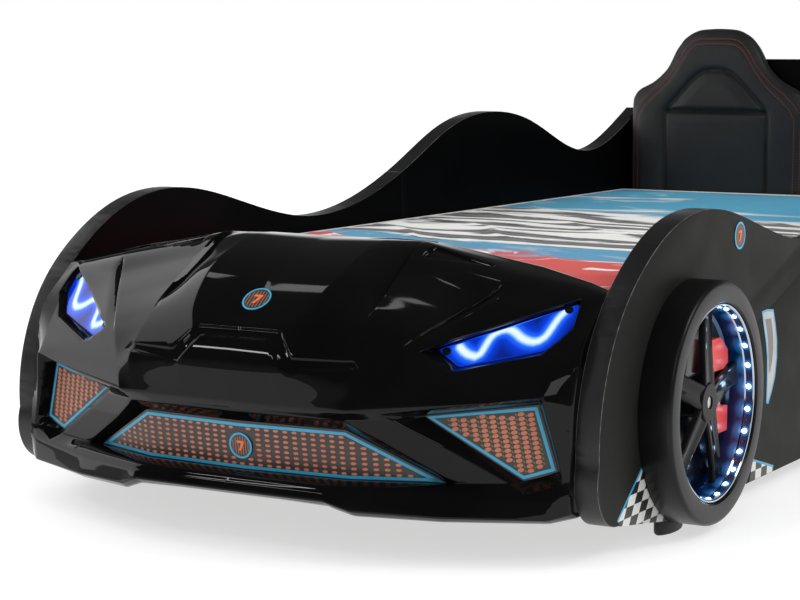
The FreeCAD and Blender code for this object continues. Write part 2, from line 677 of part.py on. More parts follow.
def beam_legs():
    """Three square legs under the beam, down to the floor."""
    legs = []
    half = BEAM_LEG_SIDE / 2
    for number in range(BEAM_LEG_COUNT):
        share = (number + 1) / (BEAM_LEG_COUNT + 1)
        y = FRONT_BOARD_BACK_Y + (HEAD_FACE_Y - FRONT_BOARD_BACK_Y) * share
        leg = box(-half, half, y - half, y + half, 0, RAIL_TOP - BEAM_HEIGHT)
        legs.append(leg)
    return legs


def glide_feet():
    """Black glides under both side panels."""
    feet = []
    middle = WELL_HALF + PANEL_THICK / 2
    places = (PANEL_TOE_Y + FOOT_FROM_TOE, PANEL_SEAM_Y - FOOT_FROM_SEAM,
              PANEL_SEAM_Y + FOOT_FROM_SEAM, PANEL_END_Y - FOOT_FROM_END)
    for _, sign in SIDES:
        for y in places:
            foot = box(middle - FOOT_WIDTH / 2, middle + FOOT_WIDTH / 2,
                       y - FOOT_LENGTH / 2, y + FOOT_LENGTH / 2, 0, PANEL_CLEARANCE)
            low = [e for e in foot.Edges if e.BoundBox.ZMax < 0.01]
            foot = foot.makeChamfer(FOOT_CHAMFER, low)
            feet.append(on_side(foot, sign))
    return feet


def joint_plate():
    """The plate that joins the two halves of the left side panel behind their seam."""
    return box(WELL_HALF - JOINT_PLATE_THICK, WELL_HALF, PANEL_SEAM_Y - JOINT_PLATE_HALF,
               PANEL_SEAM_Y + JOINT_PLATE_HALF, *JOINT_PLATE_Z)


def joint_screws():
    """Two screws that hold the joint plate on the halves of the left side panel."""
    screws = []
    z = sum(JOINT_PLATE_Z) / 2
    head_x = WELL_HALF - JOINT_PLATE_THICK
    for sign in (1, -1):
        y = PANEL_SEAM_Y + sign * JOINT_SCREW_SPREAD
        shank = rod_x(JOINT_SCREW_RADIUS, head_x, head_x + JOINT_SCREW_LENGTH, y, z)
        head = rod_x(SCREW_HEAD_RADIUS, head_x - SCREW_HEAD_THICK, head_x, y, z)
        screws.append(shank.fuse(head))
    return screws


def light_supply():
    """The low-voltage box for the lights, on the back of the front board, with its inlet."""
    length, depth, height = SUPPLY_BOX
    case = box(-length / 2, length / 2, FRONT_BOARD_BACK_Y, FRONT_BOARD_BACK_Y + depth,
               SUPPLY_LOW, SUPPLY_LOW + height)
    upright = [e for e in case.Edges if abs(e.BoundBox.ZLength - height) < 0.01]
    case = case.makeFillet(SUPPLY_ROUND, upright)
    inlet = Part.makeCylinder(SUPPLY_INLET_RADIUS, SUPPLY_INLET_DEPTH,
                              V(0, FRONT_BOARD_BACK_Y + depth / 2, SUPPLY_LOW))
    return case.cut(inlet)


# ---------------------------------------------------------------- bedding
def mattress():
    """The mattress, with rounded edges."""
    block = box(-MATTRESS_WIDTH / 2, MATTRESS_WIDTH / 2, MATTRESS_FRONT_Y, MATTRESS_BACK_Y,
                SLAT_TOP + REST_GAP, MATTRESS_TOP + REST_GAP)
    return block.makeFillet(MATTRESS_EDGE_RADIUS, block.Edges)


def coverlet():
    """A quilted coverlet laid on the mattress, in broad shallow swells along its length."""
    half = WELL_HALF - COVERLET_SIDE_GAP
    low = MATTRESS_TOP + REST_GAP * 2
    first = MATTRESS_FRONT_Y
    last = PAD_FRONT_Y - PAD_SWELL
    wires = []
    for step in range(COVERLET_STATIONS):
        y = first + (last - first) * step / (COVERLET_STATIONS - 1)
        ends = step in (0, COVERLET_STATIONS - 1)
        crown = COVERLET_HEM if ends else COVERLET_THICK - COVERLET_WAVE * (step % 2)
        top = [V(half, y, low + COVERLET_HEM), V(half - COVERLET_ROUND, y, low + crown),
               V(-half + COVERLET_ROUND, y, low + crown), V(-half, y, low + COVERLET_HEM)]
        loop = [V(-half, y, low), V(half, y, low)] + top
        wires.append(Part.makePolygon(loop + [loop[0]]))
    return Part.makeLoft(wires, True, True)


# ---------------------------------------------------------------- the whole bed
def build():
    """Make every piece and write it."""
    panel_front, panel_rear = side_panels()
    screws = joint_screws()
    plate = joint_plate()
    for screw in screws:
        plate = plate.cut(screw)
        panel_front = panel_front.cut(screw)
        panel_rear = panel_rear.cut(screw)
    for side, sign in SIDES:
        save("side_panel_" + side + "_front", on_side(panel_front, sign))
        save("side_panel_" + side + "_rear", on_side(panel_rear, sign))
        save("joint_plate_" + side, on_side(plate, sign))
        save("side_rail_" + side, on_side(box(WELL_HALF - RAIL_THICK, WELL_HALF, FRONT_BOARD_BACK_Y,
                                              HEAD_FACE_Y, RAIL_TOP - RAIL_HEIGHT, RAIL_TOP), sign))
        wheel_parts = (("tyre", tyre), ("rim_barrel", rim_barrel), ("spoke_disc", spoke_disc),
                       ("brake_caliper", brake_caliper), ("led_ring", led_ring))
        for axle, wheel_y in AXLES:
            for name, maker in wheel_parts:
                save(name + "_" + axle + "_" + side, on_side(maker(wheel_y), sign))
        save("headlight_lens_" + side, on_side(headlight_lens(), sign))
        save("headlight_housing_" + side, on_side(headlight_housing(), sign))
        save("headlight_bar_" + side, on_side(light_bar(), sign))
        save("side_grille_" + side, on_side(side_grille_plate(), sign))
        save("seat_pad_" + side, seat_pad(sign * (PAD_WIDTH + PAD_MIDDLE_GAP) / 2))
    save("joint_screws", Part.makeCompound(screws + [mirror_x(s) for s in screws]))
    bolts = [wheel_bolt(wheel_y) for _, wheel_y in AXLES]
    save("wheel_bolts", Part.makeCompound(bolts + [mirror_x(b) for b in bolts]))
    heads = lens_screws()
    save("lens_screws", Part.makeCompound(heads + [mirror_x(s) for s in heads]))
    save("front_shell", front_shell())
    board = box(-WELL_HALF, WELL_HALF, FRONT_BOARD_BACK_Y - FRONT_BOARD_THICK, FRONT_BOARD_BACK_Y,
                FRONT_BOARD_LOW, FRONT_BOARD_TOP)
    save("front_board", board.common(nose_body(SHELL_WALL)))
    save("centre_grille", centre_grille_plate())
    save("headboard_panel", headboard_panel())
    save("slats", Part.makeCompound(slats()))
    save("slat_straps", Part.makeCompound(slat_straps()))
    save("centre_beam", centre_beam())
    save("beam_legs", Part.makeCompound(beam_legs()))
    save("glide_feet", Part.makeCompound(glide_feet()))
    save("light_supply", light_supply())
    save("mattress", mattress())
    save("coverlet", coverlet())


build()
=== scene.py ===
"""A racing-car bed for a child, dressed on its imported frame.

Every piece is built in metres in the row frame. Tables are in millimetres, with Y counted from the front edge
of the side panels and Z from the floor; put() turns them into row metres.
"""
import logging
import math
from collections.abc import Callable, Iterable, Sequence
from dataclasses import dataclass, field
from enum import Enum

import bmesh
import bpy
import numpy as np
from mathutils import Matrix, Vector, geometry


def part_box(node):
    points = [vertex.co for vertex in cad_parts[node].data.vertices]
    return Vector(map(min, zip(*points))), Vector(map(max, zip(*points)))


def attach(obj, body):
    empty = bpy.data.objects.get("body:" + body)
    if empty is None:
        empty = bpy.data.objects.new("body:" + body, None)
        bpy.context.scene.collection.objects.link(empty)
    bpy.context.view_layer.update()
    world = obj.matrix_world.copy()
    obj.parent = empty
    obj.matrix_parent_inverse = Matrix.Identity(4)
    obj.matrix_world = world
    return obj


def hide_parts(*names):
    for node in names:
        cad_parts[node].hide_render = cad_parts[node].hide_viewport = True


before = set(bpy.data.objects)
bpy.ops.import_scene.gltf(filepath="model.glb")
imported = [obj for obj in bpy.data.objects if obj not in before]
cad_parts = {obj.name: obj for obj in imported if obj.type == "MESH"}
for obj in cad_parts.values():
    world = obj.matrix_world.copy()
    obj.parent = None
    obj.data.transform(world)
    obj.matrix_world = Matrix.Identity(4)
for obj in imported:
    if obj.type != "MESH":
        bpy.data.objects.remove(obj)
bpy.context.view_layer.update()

log = logging.getLogger("car_bed")

MM = 0.001
PANEL_SEAM = 1120.0
FRONT_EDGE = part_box("side_panel_left_front")[1].y - PANEL_SEAM * MM
SIDES = (("left", 1.0), ("right", -1.0))
AXLES = ("front", "rear")
OUTER_FACE = 498.0
SHARP_ANGLE = math.radians(25)

Point2 = tuple[float, float]
Point3 = tuple[float, float, float]
Colour = tuple[float, float, float]
Socket = bpy.types.NodeSocket
Sockets = bpy.types.bpy_prop_collection


def put(points: Sequence[Sequence[float]] | np.ndarray) -> np.ndarray:
    """Turn drawing millimetres into row metres.

    Args:
        points: rows of X, Y, Z in millimetres, Y from the panels' front edge.

    Returns:
        The same rows in metres.
    """
    return np.asarray(points, float).reshape(-1, 3) * MM + np.array([0.0, FRONT_EDGE, 0.0])


def ease(value: np.ndarray | float) -> np.ndarray:
    """Smooth step from 0 to 1, flat at both ends."""
    held = np.clip(value, 0.0, 1.0)
    return held * held * (3.0 - 2.0 * held)


# ---------------------------------------------------------------- node trees


class Tree:
    """Adds nodes to a node tree and joins their sockets."""

    def __init__(self, tree: bpy.types.NodeTree) -> None:
        """Keep the tree that the nodes go into."""
        self.tree = tree

    def feed(self, socket: Socket, value: object) -> None:
        """Join an output to an input socket, or give the socket a value.

        Args:
            socket: the input socket.
            value: an output socket, or a plain value.
        """
        if isinstance(value, bpy.types.NodeSocket):
            self.tree.links.new(value, socket)
        else:
            socket.default_value = value

    def add(self, kind: str, inputs: dict | None = None, **settings: object) -> bpy.types.Node:
        """Add one node.

        Args:
            kind: the node's type name.
            inputs: socket name or number to a value, or to an output socket to join.
            settings: attributes of the node.

        Returns:
            The new node.
        """
        node = self.tree.nodes.new(kind)
        for name, value in settings.items():
            setattr(node, name, value)
        for key, value in (inputs or {}).items():
            self.feed(node.inputs[key], value)
        return node

    def math(self, operation: str, *values: object) -> Socket:
        """One Math node's result."""
        return self.add("ShaderNodeMath", dict(enumerate(values)), operation=operation).outputs[0]

    def product(self, first: object, second: object) -> Socket:
        """Two values multiplied."""
        return self.math("MULTIPLY", first, second)

    def mix(self, share: object, first: object, second: object) -> Socket:
        """A colour between two colours, by a share from 0 to 1.

        Args:
            share: 0 for the first colour, 1 for the second.
            first: colour or socket.
            second: colour or socket.

        Returns:
            The mixed colour.
        """
        node = self.add("ShaderNodeMix", data_type="RGBA")
        for name, value in (("Factor", share), ("A", first), ("B", second)):
            kind = "VALUE" if name == "Factor" else "RGBA"
            socket = next(s for s in node.inputs if s.name == name and s.type == kind)
            self.feed(socket, (*value, 1.0) if isinstance(value, tuple) else value)
        return next(s for s in node.outputs if s.type == "RGBA")

    def span(self, value: object, low: float, high: float, to_low: float = 0.0,
             to_high: float = 1.0) -> Socket:
        """A value mapped from one range to another and held there."""
        inputs = {0: value, 1: low, 2: high, 3: to_low, 4: to_high}
        return self.add("ShaderNodeMapRange", inputs).outputs[0]

    def place(self) -> Socket:
        """The place on the piece, in metres."""
        return self.add("ShaderNodeTexCoord").outputs["Object"]

    def stretched(self, place: Socket, scale: Point3, turn: float = 0.0) -> Socket:
        """A place scaled along each axis and turned about Z."""
        inputs = {"Vector": place, "Scale": scale, "Rotation": (0.0, 0.0, turn)}
        return self.add("ShaderNodeMapping", inputs).outputs[0]

    def noise(self, place: Socket, scale: object, detail: float = 2.0, **more: float) -> Socket:
        """A noise texture's value."""
        inputs = {"Vector": place, "Scale": scale, "Detail": detail, **more}
        return self.add("ShaderNodeTexNoise", inputs).outputs[0]

    def attribute(self, name: str) -> Socket:
        """The value that the mesh stores under a name."""
        return self.add("ShaderNodeAttribute", attribute_name=name).outputs["Fac"]

    def shared(self, name: str, **values: float) -> Sockets:
        """The outputs of a shared group, placed with its own values."""
        return self.add("ShaderNodeGroup", values, node_tree=SharedGroup.get(name)).outputs


class SharedGroup:
    """Shader node groups with named sockets, each built once and placed in many materials."""

    INPUTS = {"mottle": {"Scale": 20.0, "Fine": 400.0}, "edge_wear": {"Amount": 0.5},
              "leather_grain": {"Scale": 700.0}, "weave": {"Pitch": 0.0012}, "wood_figure": {"Rings": 60.0}}
    made: dict[str, bpy.types.NodeTree] = {}

    @classmethod
    def get(cls, name: str) -> bpy.types.NodeTree:
        """Return the group of that name, building it the first time."""
        if name not in cls.made:
            group = bpy.data.node_groups.new(name, "ShaderNodeTree")
            for label, value in cls.INPUTS[name].items():
                socket = group.interface.new_socket(label, in_out="INPUT", socket_type="NodeSocketFloat")
                socket.default_value = value
            tree = Tree(group)
            results = getattr(cls, "_" + name)(tree, tree.add("NodeGroupInput").outputs)
            for label in results:
                group.interface.new_socket(label, in_out="OUTPUT", socket_type="NodeSocketFloat")
            tree.add("NodeGroupOutput", results)
            cls.made[name] = group
        return cls.made[name]

    @staticmethod
    def _mottle(tree: Tree, given: Sockets) -> dict[str, Socket]:
        """Soft clouds for colour and shine, and a finer mask."""
        place = tree.place()
        return {"Clouds": tree.span(tree.noise(place, given["Scale"], 4.0), 0.3, 0.7),
                "Grain": tree.noise(place, given["Fine"], 3.0, Roughness=0.65)}

    @staticmethod
    def _edge_wear(tree: Tree, given: Sockets) -> dict[str, Socket]:
        """Mask of rubbed edges, from the edge_band attribute broken up by noise."""
        rubbed = tree.span(tree.noise(tree.place(), 90.0, 5.0), 0.35, 0.62, 0.25)
        return {"Mask": tree.product(tree.product(tree.attribute("edge_band"), rubbed), given["Amount"])}

    @staticmethod
    def _leather_grain(tree: Tree, given: Sockets) -> dict[str, Socket]:
        """Pebbled grain of pressed imitation leather."""
        place = tree.place()
        inputs = {"Vector": place, "Scale": given["Scale"], "Randomness": 0.9}
        cells = tree.add("ShaderNodeTexVoronoi", inputs, feature="DISTANCE_TO_EDGE")
        raised = tree.span(cells.outputs["Distance"], 0.0, 0.25)
        return {"Height": tree.math("ADD", raised, tree.product(tree.noise(place, 38.0, 5.0), 1.4)),
                "Crease": raised}

    @staticmethod
    def _weave(tree: Tree, given: Sockets) -> dict[str, Socket]:
        """Plain over-and-under weave from two crossed waves."""
        apart = tree.add("ShaderNodeSeparateXYZ", {0: tree.place()}).outputs
        rate = tree.math("DIVIDE", math.tau, given["Pitch"])
        waves = [tree.math("SINE", tree.product(way, rate))
                 for way in (apart[0], tree.math("ADD", apart[1], apart[2]))]
        cross = tree.product(*waves)
        return {"Height": cross, "Thread": tree.span(cross, -1.0, 1.0)}

    @staticmethod
    def _wood_figure(tree: Tree, given: Sockets) -> dict[str, Socket]:
        """Long grain lines that run along X."""
        place = tree.place()
        bend = tree.noise(tree.stretched(place, (0.6, 6.0, 6.0)), 4.0, 4.0)
        rings = tree.math("SINE", tree.product(bend, given["Rings"]))
        return {"Figure": tree.span(rings, -1.0, 1.0),
                "Pores": tree.noise(tree.stretched(place, (8.0, 240.0, 240.0)), 6.0, 3.0)}


def material(name: str, **constants: object) -> tuple[bpy.types.Material, Tree, bpy.types.Node]:
    """Start a material.

    Args:
        name: the material's name.
        constants: Principled inputs, with spaces written as underscores, that are the same all over.

    Returns:
        The material, its Tree and its Principled BSDF.
    """
    made = bpy.data.materials.new(name)
    made.use_nodes = True
    made.node_tree.nodes.clear()
    tree = Tree(made.node_tree)
    shader = tree.add("ShaderNodeBsdfPrincipled", {k.replace("_", " "): v for k, v in constants.items()})
    tree.add("ShaderNodeOutputMaterial", {"Surface": shader.outputs[0]})
    return made, tree, shader


def dress(tree: Tree, shader: bpy.types.Node, colour: Socket, height: Socket, relief: float,
          rough: Socket | None = None) -> None:
    """Feed a shader what varies over the surface.

    Args:
        tree: the material's tree.
        shader: its Principled BSDF.
        colour: the base colour.
        height: the relief's height, from 0 to 1.
        relief: how high that is, in metres.
        rough: the roughness, where it varies.
    """
    bump = tree.add("ShaderNodeBump", {"Height": height, "Distance": relief, "Strength": 1.0})
    for label, value in (("Base Color", colour), ("Normal", bump.outputs[0]), ("Roughness", rough)):
        if value is not None:
            tree.feed(shader.inputs[label], value)


@dataclass(frozen=True)
class Finish:
    """A moulded, painted or metal surface: two close tones, a range of shine, fine grain and rubbed edges.

    Scales are per metre; relief is in metres.
    """

    name: str
    tone: Colour
    second: Colour
    shine: tuple[float, float] = (0.3, 0.45)
    metallic: float = 0.0
    specular: float = 0.5
    coat: float = 0.0
    clouds: float = 12.0
    grain: float = 900.0
    relief: float = 0.00002
    worn: Colour | None = None
    wear: float = 0.5

    def build(self) -> bpy.types.Material:
        """Make the material."""
        made, tree, shader = material(self.name, Metallic=self.metallic, Specular_IOR_Level=self.specular,
                                      Coat_Weight=self.coat, Coat_Roughness=0.05)
        mottle = tree.shared("mottle", Scale=self.clouds, Fine=self.grain)
        colour = tree.mix(mottle["Clouds"], self.tone, self.second)
        if self.worn is not None:
            colour = tree.mix(tree.shared("edge_wear", Amount=self.wear)["Mask"], colour, self.worn)
        dress(tree, shader, colour, mottle["Grain"], self.relief,
              tree.span(mottle["Clouds"], 0.0, 1.0, *self.shine))
        return made


@dataclass(frozen=True)
class WoodFinish:
    """Sanded timber or the inner face of a board, with grain along X."""

    name: str
    pale: Colour
    dark: Colour

    def build(self) -> bpy.types.Material:
        """Make the material."""
        made, tree, shader = material(self.name, Specular_IOR_Level=0.35)
        wood = tree.shared("wood_figure")
        pores = tree.span(wood["Pores"], 0.35, 0.65, 0.0, 0.6)
        colour = tree.mix(pores, tree.mix(wood["Figure"], self.pale, self.dark), self.dark)
        dress(tree, shader, colour, wood["Pores"], 0.00012, tree.span(wood["Pores"], 0.3, 0.7, 0.5, 0.72))
        return made


@dataclass(frozen=True)
class LeatherFinish:
    """Pressed imitation leather."""

    name: str
    tone: Colour
    rubbed: Colour
    relief: float = 0.00008

    def build(self) -> bpy.types.Material:
        """Make the material."""
        made, tree, shader = material(self.name, Specular_IOR_Level=0.45, Sheen_Weight=0.05)
        grain = tree.shared("leather_grain")
        share = tree.product(grain["Crease"], tree.shared("mottle")["Clouds"])
        colour = tree.mix(share, self.tone, self.rubbed)
        dress(tree, shader, colour, grain["Height"], self.relief,
              tree.span(grain["Crease"], 0.0, 1.0, 0.55, 0.38))
        return made


@dataclass(frozen=True)
class ClothFinish:
    """Woven cloth in two close tones."""

    name: str
    tone: Colour
    second: Colour
    pitch: float = 0.0012
    relief: float = 0.0002

    def build(self) -> bpy.types.Material:
        """Make the material."""
        made, tree, shader = material(self.name, Specular_IOR_Level=0.2, Sheen_Weight=0.25)
        weave = tree.shared("weave", Pitch=self.pitch)
        share = tree.product(weave["Thread"], tree.shared("mottle")["Clouds"])
        colour = tree.mix(share, self.tone, self.second)
        dress(tree, shader, colour, weave["Height"], self.relief,
              tree.span(weave["Thread"], 0.0, 1.0, 0.78, 0.92))
        return made


@dataclass(frozen=True)
class GlowFinish:
    """A lit surface whose glow attribute runs from 0, dim, to 1, the lamp itself; on the wheel's cup and lamp
    tape the glow is painted lamp light.
    """

    name: str
    base: Colour
    stops: tuple[tuple[float, Colour], ...]
    strength: float = 1.0
    rough: float = 0.08
    metallic: float = 0.0

    def build(self) -> bpy.types.Material:
        """Make the material."""
        made, tree, shader = material(self.name, Roughness=self.rough, Emission_Strength=self.strength,
                                      Metallic=self.metallic)
        ramp = tree.add("ShaderNodeValToRGB", {0: tree.attribute("glow")})
        band = ramp.color_ramp
        for i, (at, colour) in enumerate(self.stops):
            stop = band.elements[i] if i < 2 else band.elements.new(at)
            stop.position = at
            stop.color = (*colour, 1.0)
        tree.feed(shader.inputs["Emission Color"], ramp.outputs[0])
        mottle = tree.shared("mottle")
        second = tuple(c * 1.6 + 0.002 for c in self.base)
        dress(tree, shader, tree.mix(mottle["Clouds"], self.base, second), mottle["Grain"], 0.00001)
        return made


@dataclass(frozen=True)
class BandedPrint:
    """Brush-like bands across the coverlet: red, light blue, grey and white, then sky."""

    name: str = "coverlet_fabric"
    edges: tuple[float, float, float] = (0.62, 0.75, 1.42)
    lean: float = 0.2
    red: Colour = (0.72, 0.07, 0.06)
    blue: Colour = (0.07, 0.33, 0.54)
    sky: Colour = (0.05, 0.35, 0.55)
    pale: Colour = (0.88, 0.88, 0.85)
    dark: Colour = (0.06, 0.06, 0.065)

    def build(self) -> bpy.types.Material:
        """Make the material."""
        made, tree, shader = material(self.name, Specular_IOR_Level=0.15, Sheen_Weight=0.15, Roughness=0.85)
        place = tree.place()
        apart = tree.add("ShaderNodeSeparateXYZ", {0: place}).outputs
        streak = tree.stretched(place, (1.0, 3.2, 1.0), 0.26)
        broad = tree.noise(streak, 1.7, 4.0, Roughness=0.55, Distortion=1.2)
        fine = tree.noise(streak, 3.4, 5.0, Roughness=0.58, Distortion=2.6)
        swirl = tree.add("ShaderNodeTexWave", {"Vector": streak, "Scale": 1.3, "Distortion": 9.0,
                                               "Detail": 3.0,
                                               "Detail Scale": 1.1}, bands_direction="Y").outputs[1]
        way = tree.math("ADD", apart[1], tree.product(apart[0], self.lean))
        way = tree.math("ADD", way, tree.product(tree.math("SUBTRACT", broad, 0.5), 0.3))
        way = tree.math("SUBTRACT", way, FRONT_EDGE)
        blue = tree.mix(tree.span(fine, 0.4, 0.46, 1.0, 0.0), self.blue, (0.3, 0.42, 0.55))
        tone = tree.math("ADD", tree.product(fine, 0.6), tree.product(swirl, 0.4))
        grey = tree.mix(tree.span(tone, 0.4, 0.56), self.dark, self.pale)
        grey = tree.mix(tree.span(swirl, 0.05, 0.2, 0.55, 0.0), grey, (0.24, 0.24, 0.25))
        sky = tree.mix(tree.span(broad, 0.54, 0.68), self.sky, self.pale)
        colour = tree.mix(tree.span(fine, 0.6, 0.64), self.red, self.pale)
        for edge, after in zip(self.edges, (blue, grey, sky)):
            colour = tree.mix(tree.span(way, edge - 0.015, edge + 0.015), colour, after)
        dress(tree, shader, colour, tree.shared("weave", Pitch=0.0009)["Height"], 0.0001)
        return made


class Paint(Enum):
    """Every finish on the bed, by its record slot where it has one."""

    SHELL = Finish("shell_gloss_black", (0.003, 0.003, 0.0033), (0.0045, 0.0045, 0.005), (0.02, 0.045),
                   specular=0.2, clouds=9.0, grain=240.0, relief=0.000002)
    PANEL = Finish("panel_black", (0.0135, 0.014, 0.0115), (0.017, 0.0175, 0.0148), (0.44, 0.56),
                   specular=0.1,
                   grain=1500.0, relief=0.00006, worn=(0.05, 0.05, 0.05), wear=0.5)
    # Painted shade: a much darker copy of the panel black, for faces that lie in shade.
    PANEL_PAINTED_SHADE = Finish("panel_inner_painted_shade", (0.0012, 0.0013, 0.0015), (0.002, 0.002, 0.0023), (0.34, 0.46),
                          specular=0.05, grain=1500.0, relief=0.00004)
    PANEL_EDGE = Finish("panel_edge", (0.009, 0.009, 0.009), (0.016, 0.016, 0.016), (0.26, 0.36),
                        specular=0.4,
                        grain=800.0, relief=0.0005, worn=(0.22, 0.22, 0.215), wear=1.0)
    TYRE = Finish("tyre_plastic", (0.0045, 0.0045, 0.0045), (0.0065, 0.0065, 0.0065), (0.26, 0.34),
                  specular=0.22,
                  grain=1800.0, relief=0.00005, worn=(0.04, 0.04, 0.04), wear=0.3)
    CHROME = Finish("rim_chrome", (0.5, 0.56, 0.66), (0.36, 0.42, 0.52), (0.06, 0.14), metallic=1.0,
                    grain=500.0, relief=0.000006)
    RIM_FLOOR = Finish("rim_floor", (0.002, 0.003, 0.007), (0.004, 0.006, 0.014), (0.1, 0.2), specular=0.4)
    SPOKE = Finish("spoke_gloss_black", (0.006, 0.006, 0.006), (0.01, 0.009, 0.009), (0.06, 0.12),
                   specular=0.08,
                   relief=0.000004)
    CALIPER = Finish("caliper_red", (0.82, 0.07, 0.05), (0.72, 0.04, 0.035), (0.32, 0.45), coat=0.1,
                     grain=700.0, relief=0.00004, worn=(0.9, 0.25, 0.2), wear=0.5)
    STEEL = Finish("bright_steel", (0.6, 0.6, 0.6), (0.48, 0.48, 0.48), (0.2, 0.32), metallic=1.0)
    BLACK_STEEL = Finish("black_screw", (0.01, 0.01, 0.01), (0.02, 0.02, 0.02), (0.25, 0.4), metallic=0.6)
    HOUSING = Finish("light_blue", (0.01, 0.05, 0.35), (0.015, 0.07, 0.4), (0.3, 0.4))
    PRINT_GROUND = Finish("grille_print", (0.033, 0.028, 0.026), (0.045, 0.036, 0.033), (0.28, 0.36),
                          grain=2500.0)
    CYAN = Finish("line_cyan", (0.035, 0.36, 0.6), (0.045, 0.4, 0.65), (0.3, 0.4))
    SALMON = Finish("dot_salmon", (0.58, 0.2, 0.115), (0.5, 0.16, 0.09), (0.4, 0.5))
    ORANGE = Finish("numeral_orange", (0.86, 0.2, 0.045), (0.8, 0.17, 0.04), (0.35, 0.45))
    LINK = Finish("link_olive", (0.2, 0.17, 0.06), (0.16, 0.13, 0.05), (0.4, 0.5))
    WHITE = Finish("print_white", (0.8, 0.8, 0.78), (0.72, 0.72, 0.7), (0.35, 0.45))
    INK = Finish("print_black", (0.008, 0.008, 0.008), (0.014, 0.014, 0.014), (0.3, 0.4))
    GREY = Finish("print_grey", (0.2, 0.18, 0.18), (0.1, 0.09, 0.09), (0.3, 0.4))
    FOOT = Finish("foot_plastic", (0.01, 0.01, 0.01), (0.016, 0.016, 0.016), (0.45, 0.6),
                  worn=(0.06, 0.06, 0.06))
    SUPPLY = Finish("supply_plastic", (0.012, 0.012, 0.012), (0.02, 0.02, 0.02), (0.5, 0.62), grain=1400.0,
                    relief=0.0001)
    LEATHER = LeatherFinish("black_leatherette", (0.011, 0.011, 0.011), (0.02, 0.02, 0.02))
    THREAD = ClothFinish("stitch_thread", (0.33, 0.06, 0.03), (0.22, 0.035, 0.02), 0.0006, 0.00004)
    DARK_THREAD = ClothFinish("dark_thread", (0.02, 0.02, 0.02), (0.04, 0.04, 0.04), 0.0006, 0.00004)
    WOOD = WoodFinish("inner_wood", (0.42, 0.3, 0.17), (0.3, 0.19, 0.1))
    SLAT = WoodFinish("slat_wood", (0.62, 0.46, 0.28), (0.46, 0.31, 0.17))
    STRAP = ClothFinish("strap_web", (0.5, 0.5, 0.48), (0.3, 0.3, 0.29), 0.0016, 0.0003)
    TICKING = ClothFinish("mattress_fabric", (0.72, 0.72, 0.7), (0.6, 0.6, 0.59), 0.0011, 0.00015)
    PIPING = ClothFinish("piping_cloth", (0.78, 0.78, 0.77), (0.66, 0.66, 0.66), 0.0009, 0.00012)
    COVERLET = BandedPrint()
    PALE_EDGE = Finish("pale_edge", (0.5, 0.5, 0.5), (0.42, 0.42, 0.42), (0.25, 0.4))
    # Painted light: the cup's inner wall glows blue near each lamp, as the lamps' light falling on it.
    CUP = GlowFinish("rim_cup_glow", (0.05, 0.075, 0.13), (
        (0.0, (0.0, 0.0, 0.0)), (1.0, (0.5, 0.78, 1.0)), (0.35, (0.0, 0.012, 0.05)),
        (0.7, (0.02, 0.13, 0.38))),
        0.9, 0.12, 1.0)
    LENS = GlowFinish("light_blue_lens", (0.002, 0.01, 0.08), (
        (0.0, (0.0, 0.002, 0.03)), (1.0, (0.72, 0.84, 1.0)), (0.25, (0.0, 0.008, 0.16)),
        (0.5, (0.0, 0.03, 0.5)),
        (0.74, (0.015, 0.12, 0.9)), (0.88, (0.22, 0.48, 1.0))), 1.15)
    LED = GlowFinish("light_white", (0.6, 0.65, 0.7), ((0.0, (0.5, 0.75, 1.0)), (1.0, (0.9, 0.96, 1.0))),
                     9.0, 0.4)
    # Painted light: halos of the lamps' light painted on the tape round each lamp.
    TAPE = GlowFinish("lamp_tape", (0.01, 0.012, 0.02), (
        (0.0, (0.0, 0.002, 0.008)), (1.0, (0.6, 0.85, 1.0)), (0.45, (0.0, 0.03, 0.12)),
        (0.75, (0.05, 0.3, 0.75))),
        1.0, 0.2)

    def stuff(self) -> bpy.types.Material:
        """The finish's material, built the first time it is asked for."""
        found = bpy.data.materials.get(self.value.name + "_dressed")
        if found is None:
            found = self.value.build()
            found.name = self.value.name + "_dressed"
        return found


# ---------------------------------------------------------------- mesh tools


def make_mesh(name: str, points: np.ndarray, faces: Iterable[Sequence[int]], smooth: bool = True,
              paints: Sequence[Paint] = (), picks: Sequence[int] | None = None) -> bpy.types.Object:
    """Make a mesh object at the origin.

    Args:
        name: the piece's name.
        points: vertices in row metres.
        faces: vertex numbers of each face, anticlockwise from outside.
        smooth: whether faces are shaded smooth up to the sharp angle.
        paints: finishes for the material slots.
        picks: slot number of each face.

    Returns:
        The new object.
    """
    mesh = bpy.data.meshes.new(name)
    mesh.from_pydata([tuple(p) for p in points], [], [tuple(int(i) for i in f) for f in faces])
    for paint in paints:
        mesh.materials.append(paint.stuff())
    if picks is not None:
        mesh.polygons.foreach_set("material_index", list(picks))
    mesh.update()
    if smooth:
        shade(mesh)
    made = bpy.data.objects.new(name, mesh)
    bpy.context.scene.collection.objects.link(made)
    return made


def shade(mesh: bpy.types.Mesh, angle: float = SHARP_ANGLE) -> None:
    """Shade a mesh smooth, with edges above an angle kept sharp."""
    mesh.polygons.foreach_set("use_smooth", [True] * len(mesh.polygons))
    mesh.set_sharp_from_angle(angle=angle)


def outwards(made: bpy.types.Object) -> bpy.types.Object:
    """Merge doubles and turn every face of a closed piece outwards.

    Args:
        made: the piece.

    Returns:
        The same piece.
    """
    grid = bmesh.new()
    grid.from_mesh(made.data)
    bmesh.ops.remove_doubles(grid, verts=grid.verts, dist=1e-6)
    bmesh.ops.recalc_face_normals(grid, faces=grid.faces)
    grid.to_mesh(made.data)
    grid.free()
    shade(made.data)
    return made


def mark(made: bpy.types.Object, name: str, values: np.ndarray) -> None:
    """Store a number, or a direction, at each of a piece's points.

    Args:
        made: the piece.
        name: name of the attribute.
        values: a number or a row of three for each point.
    """
    kind, key = ("FLOAT", "value") if np.ndim(values) == 1 else ("FLOAT_VECTOR", "vector")
    store = made.data.attributes.new(name, kind, "POINT")
    store.data.foreach_set(key, np.asarray(values, float).ravel())


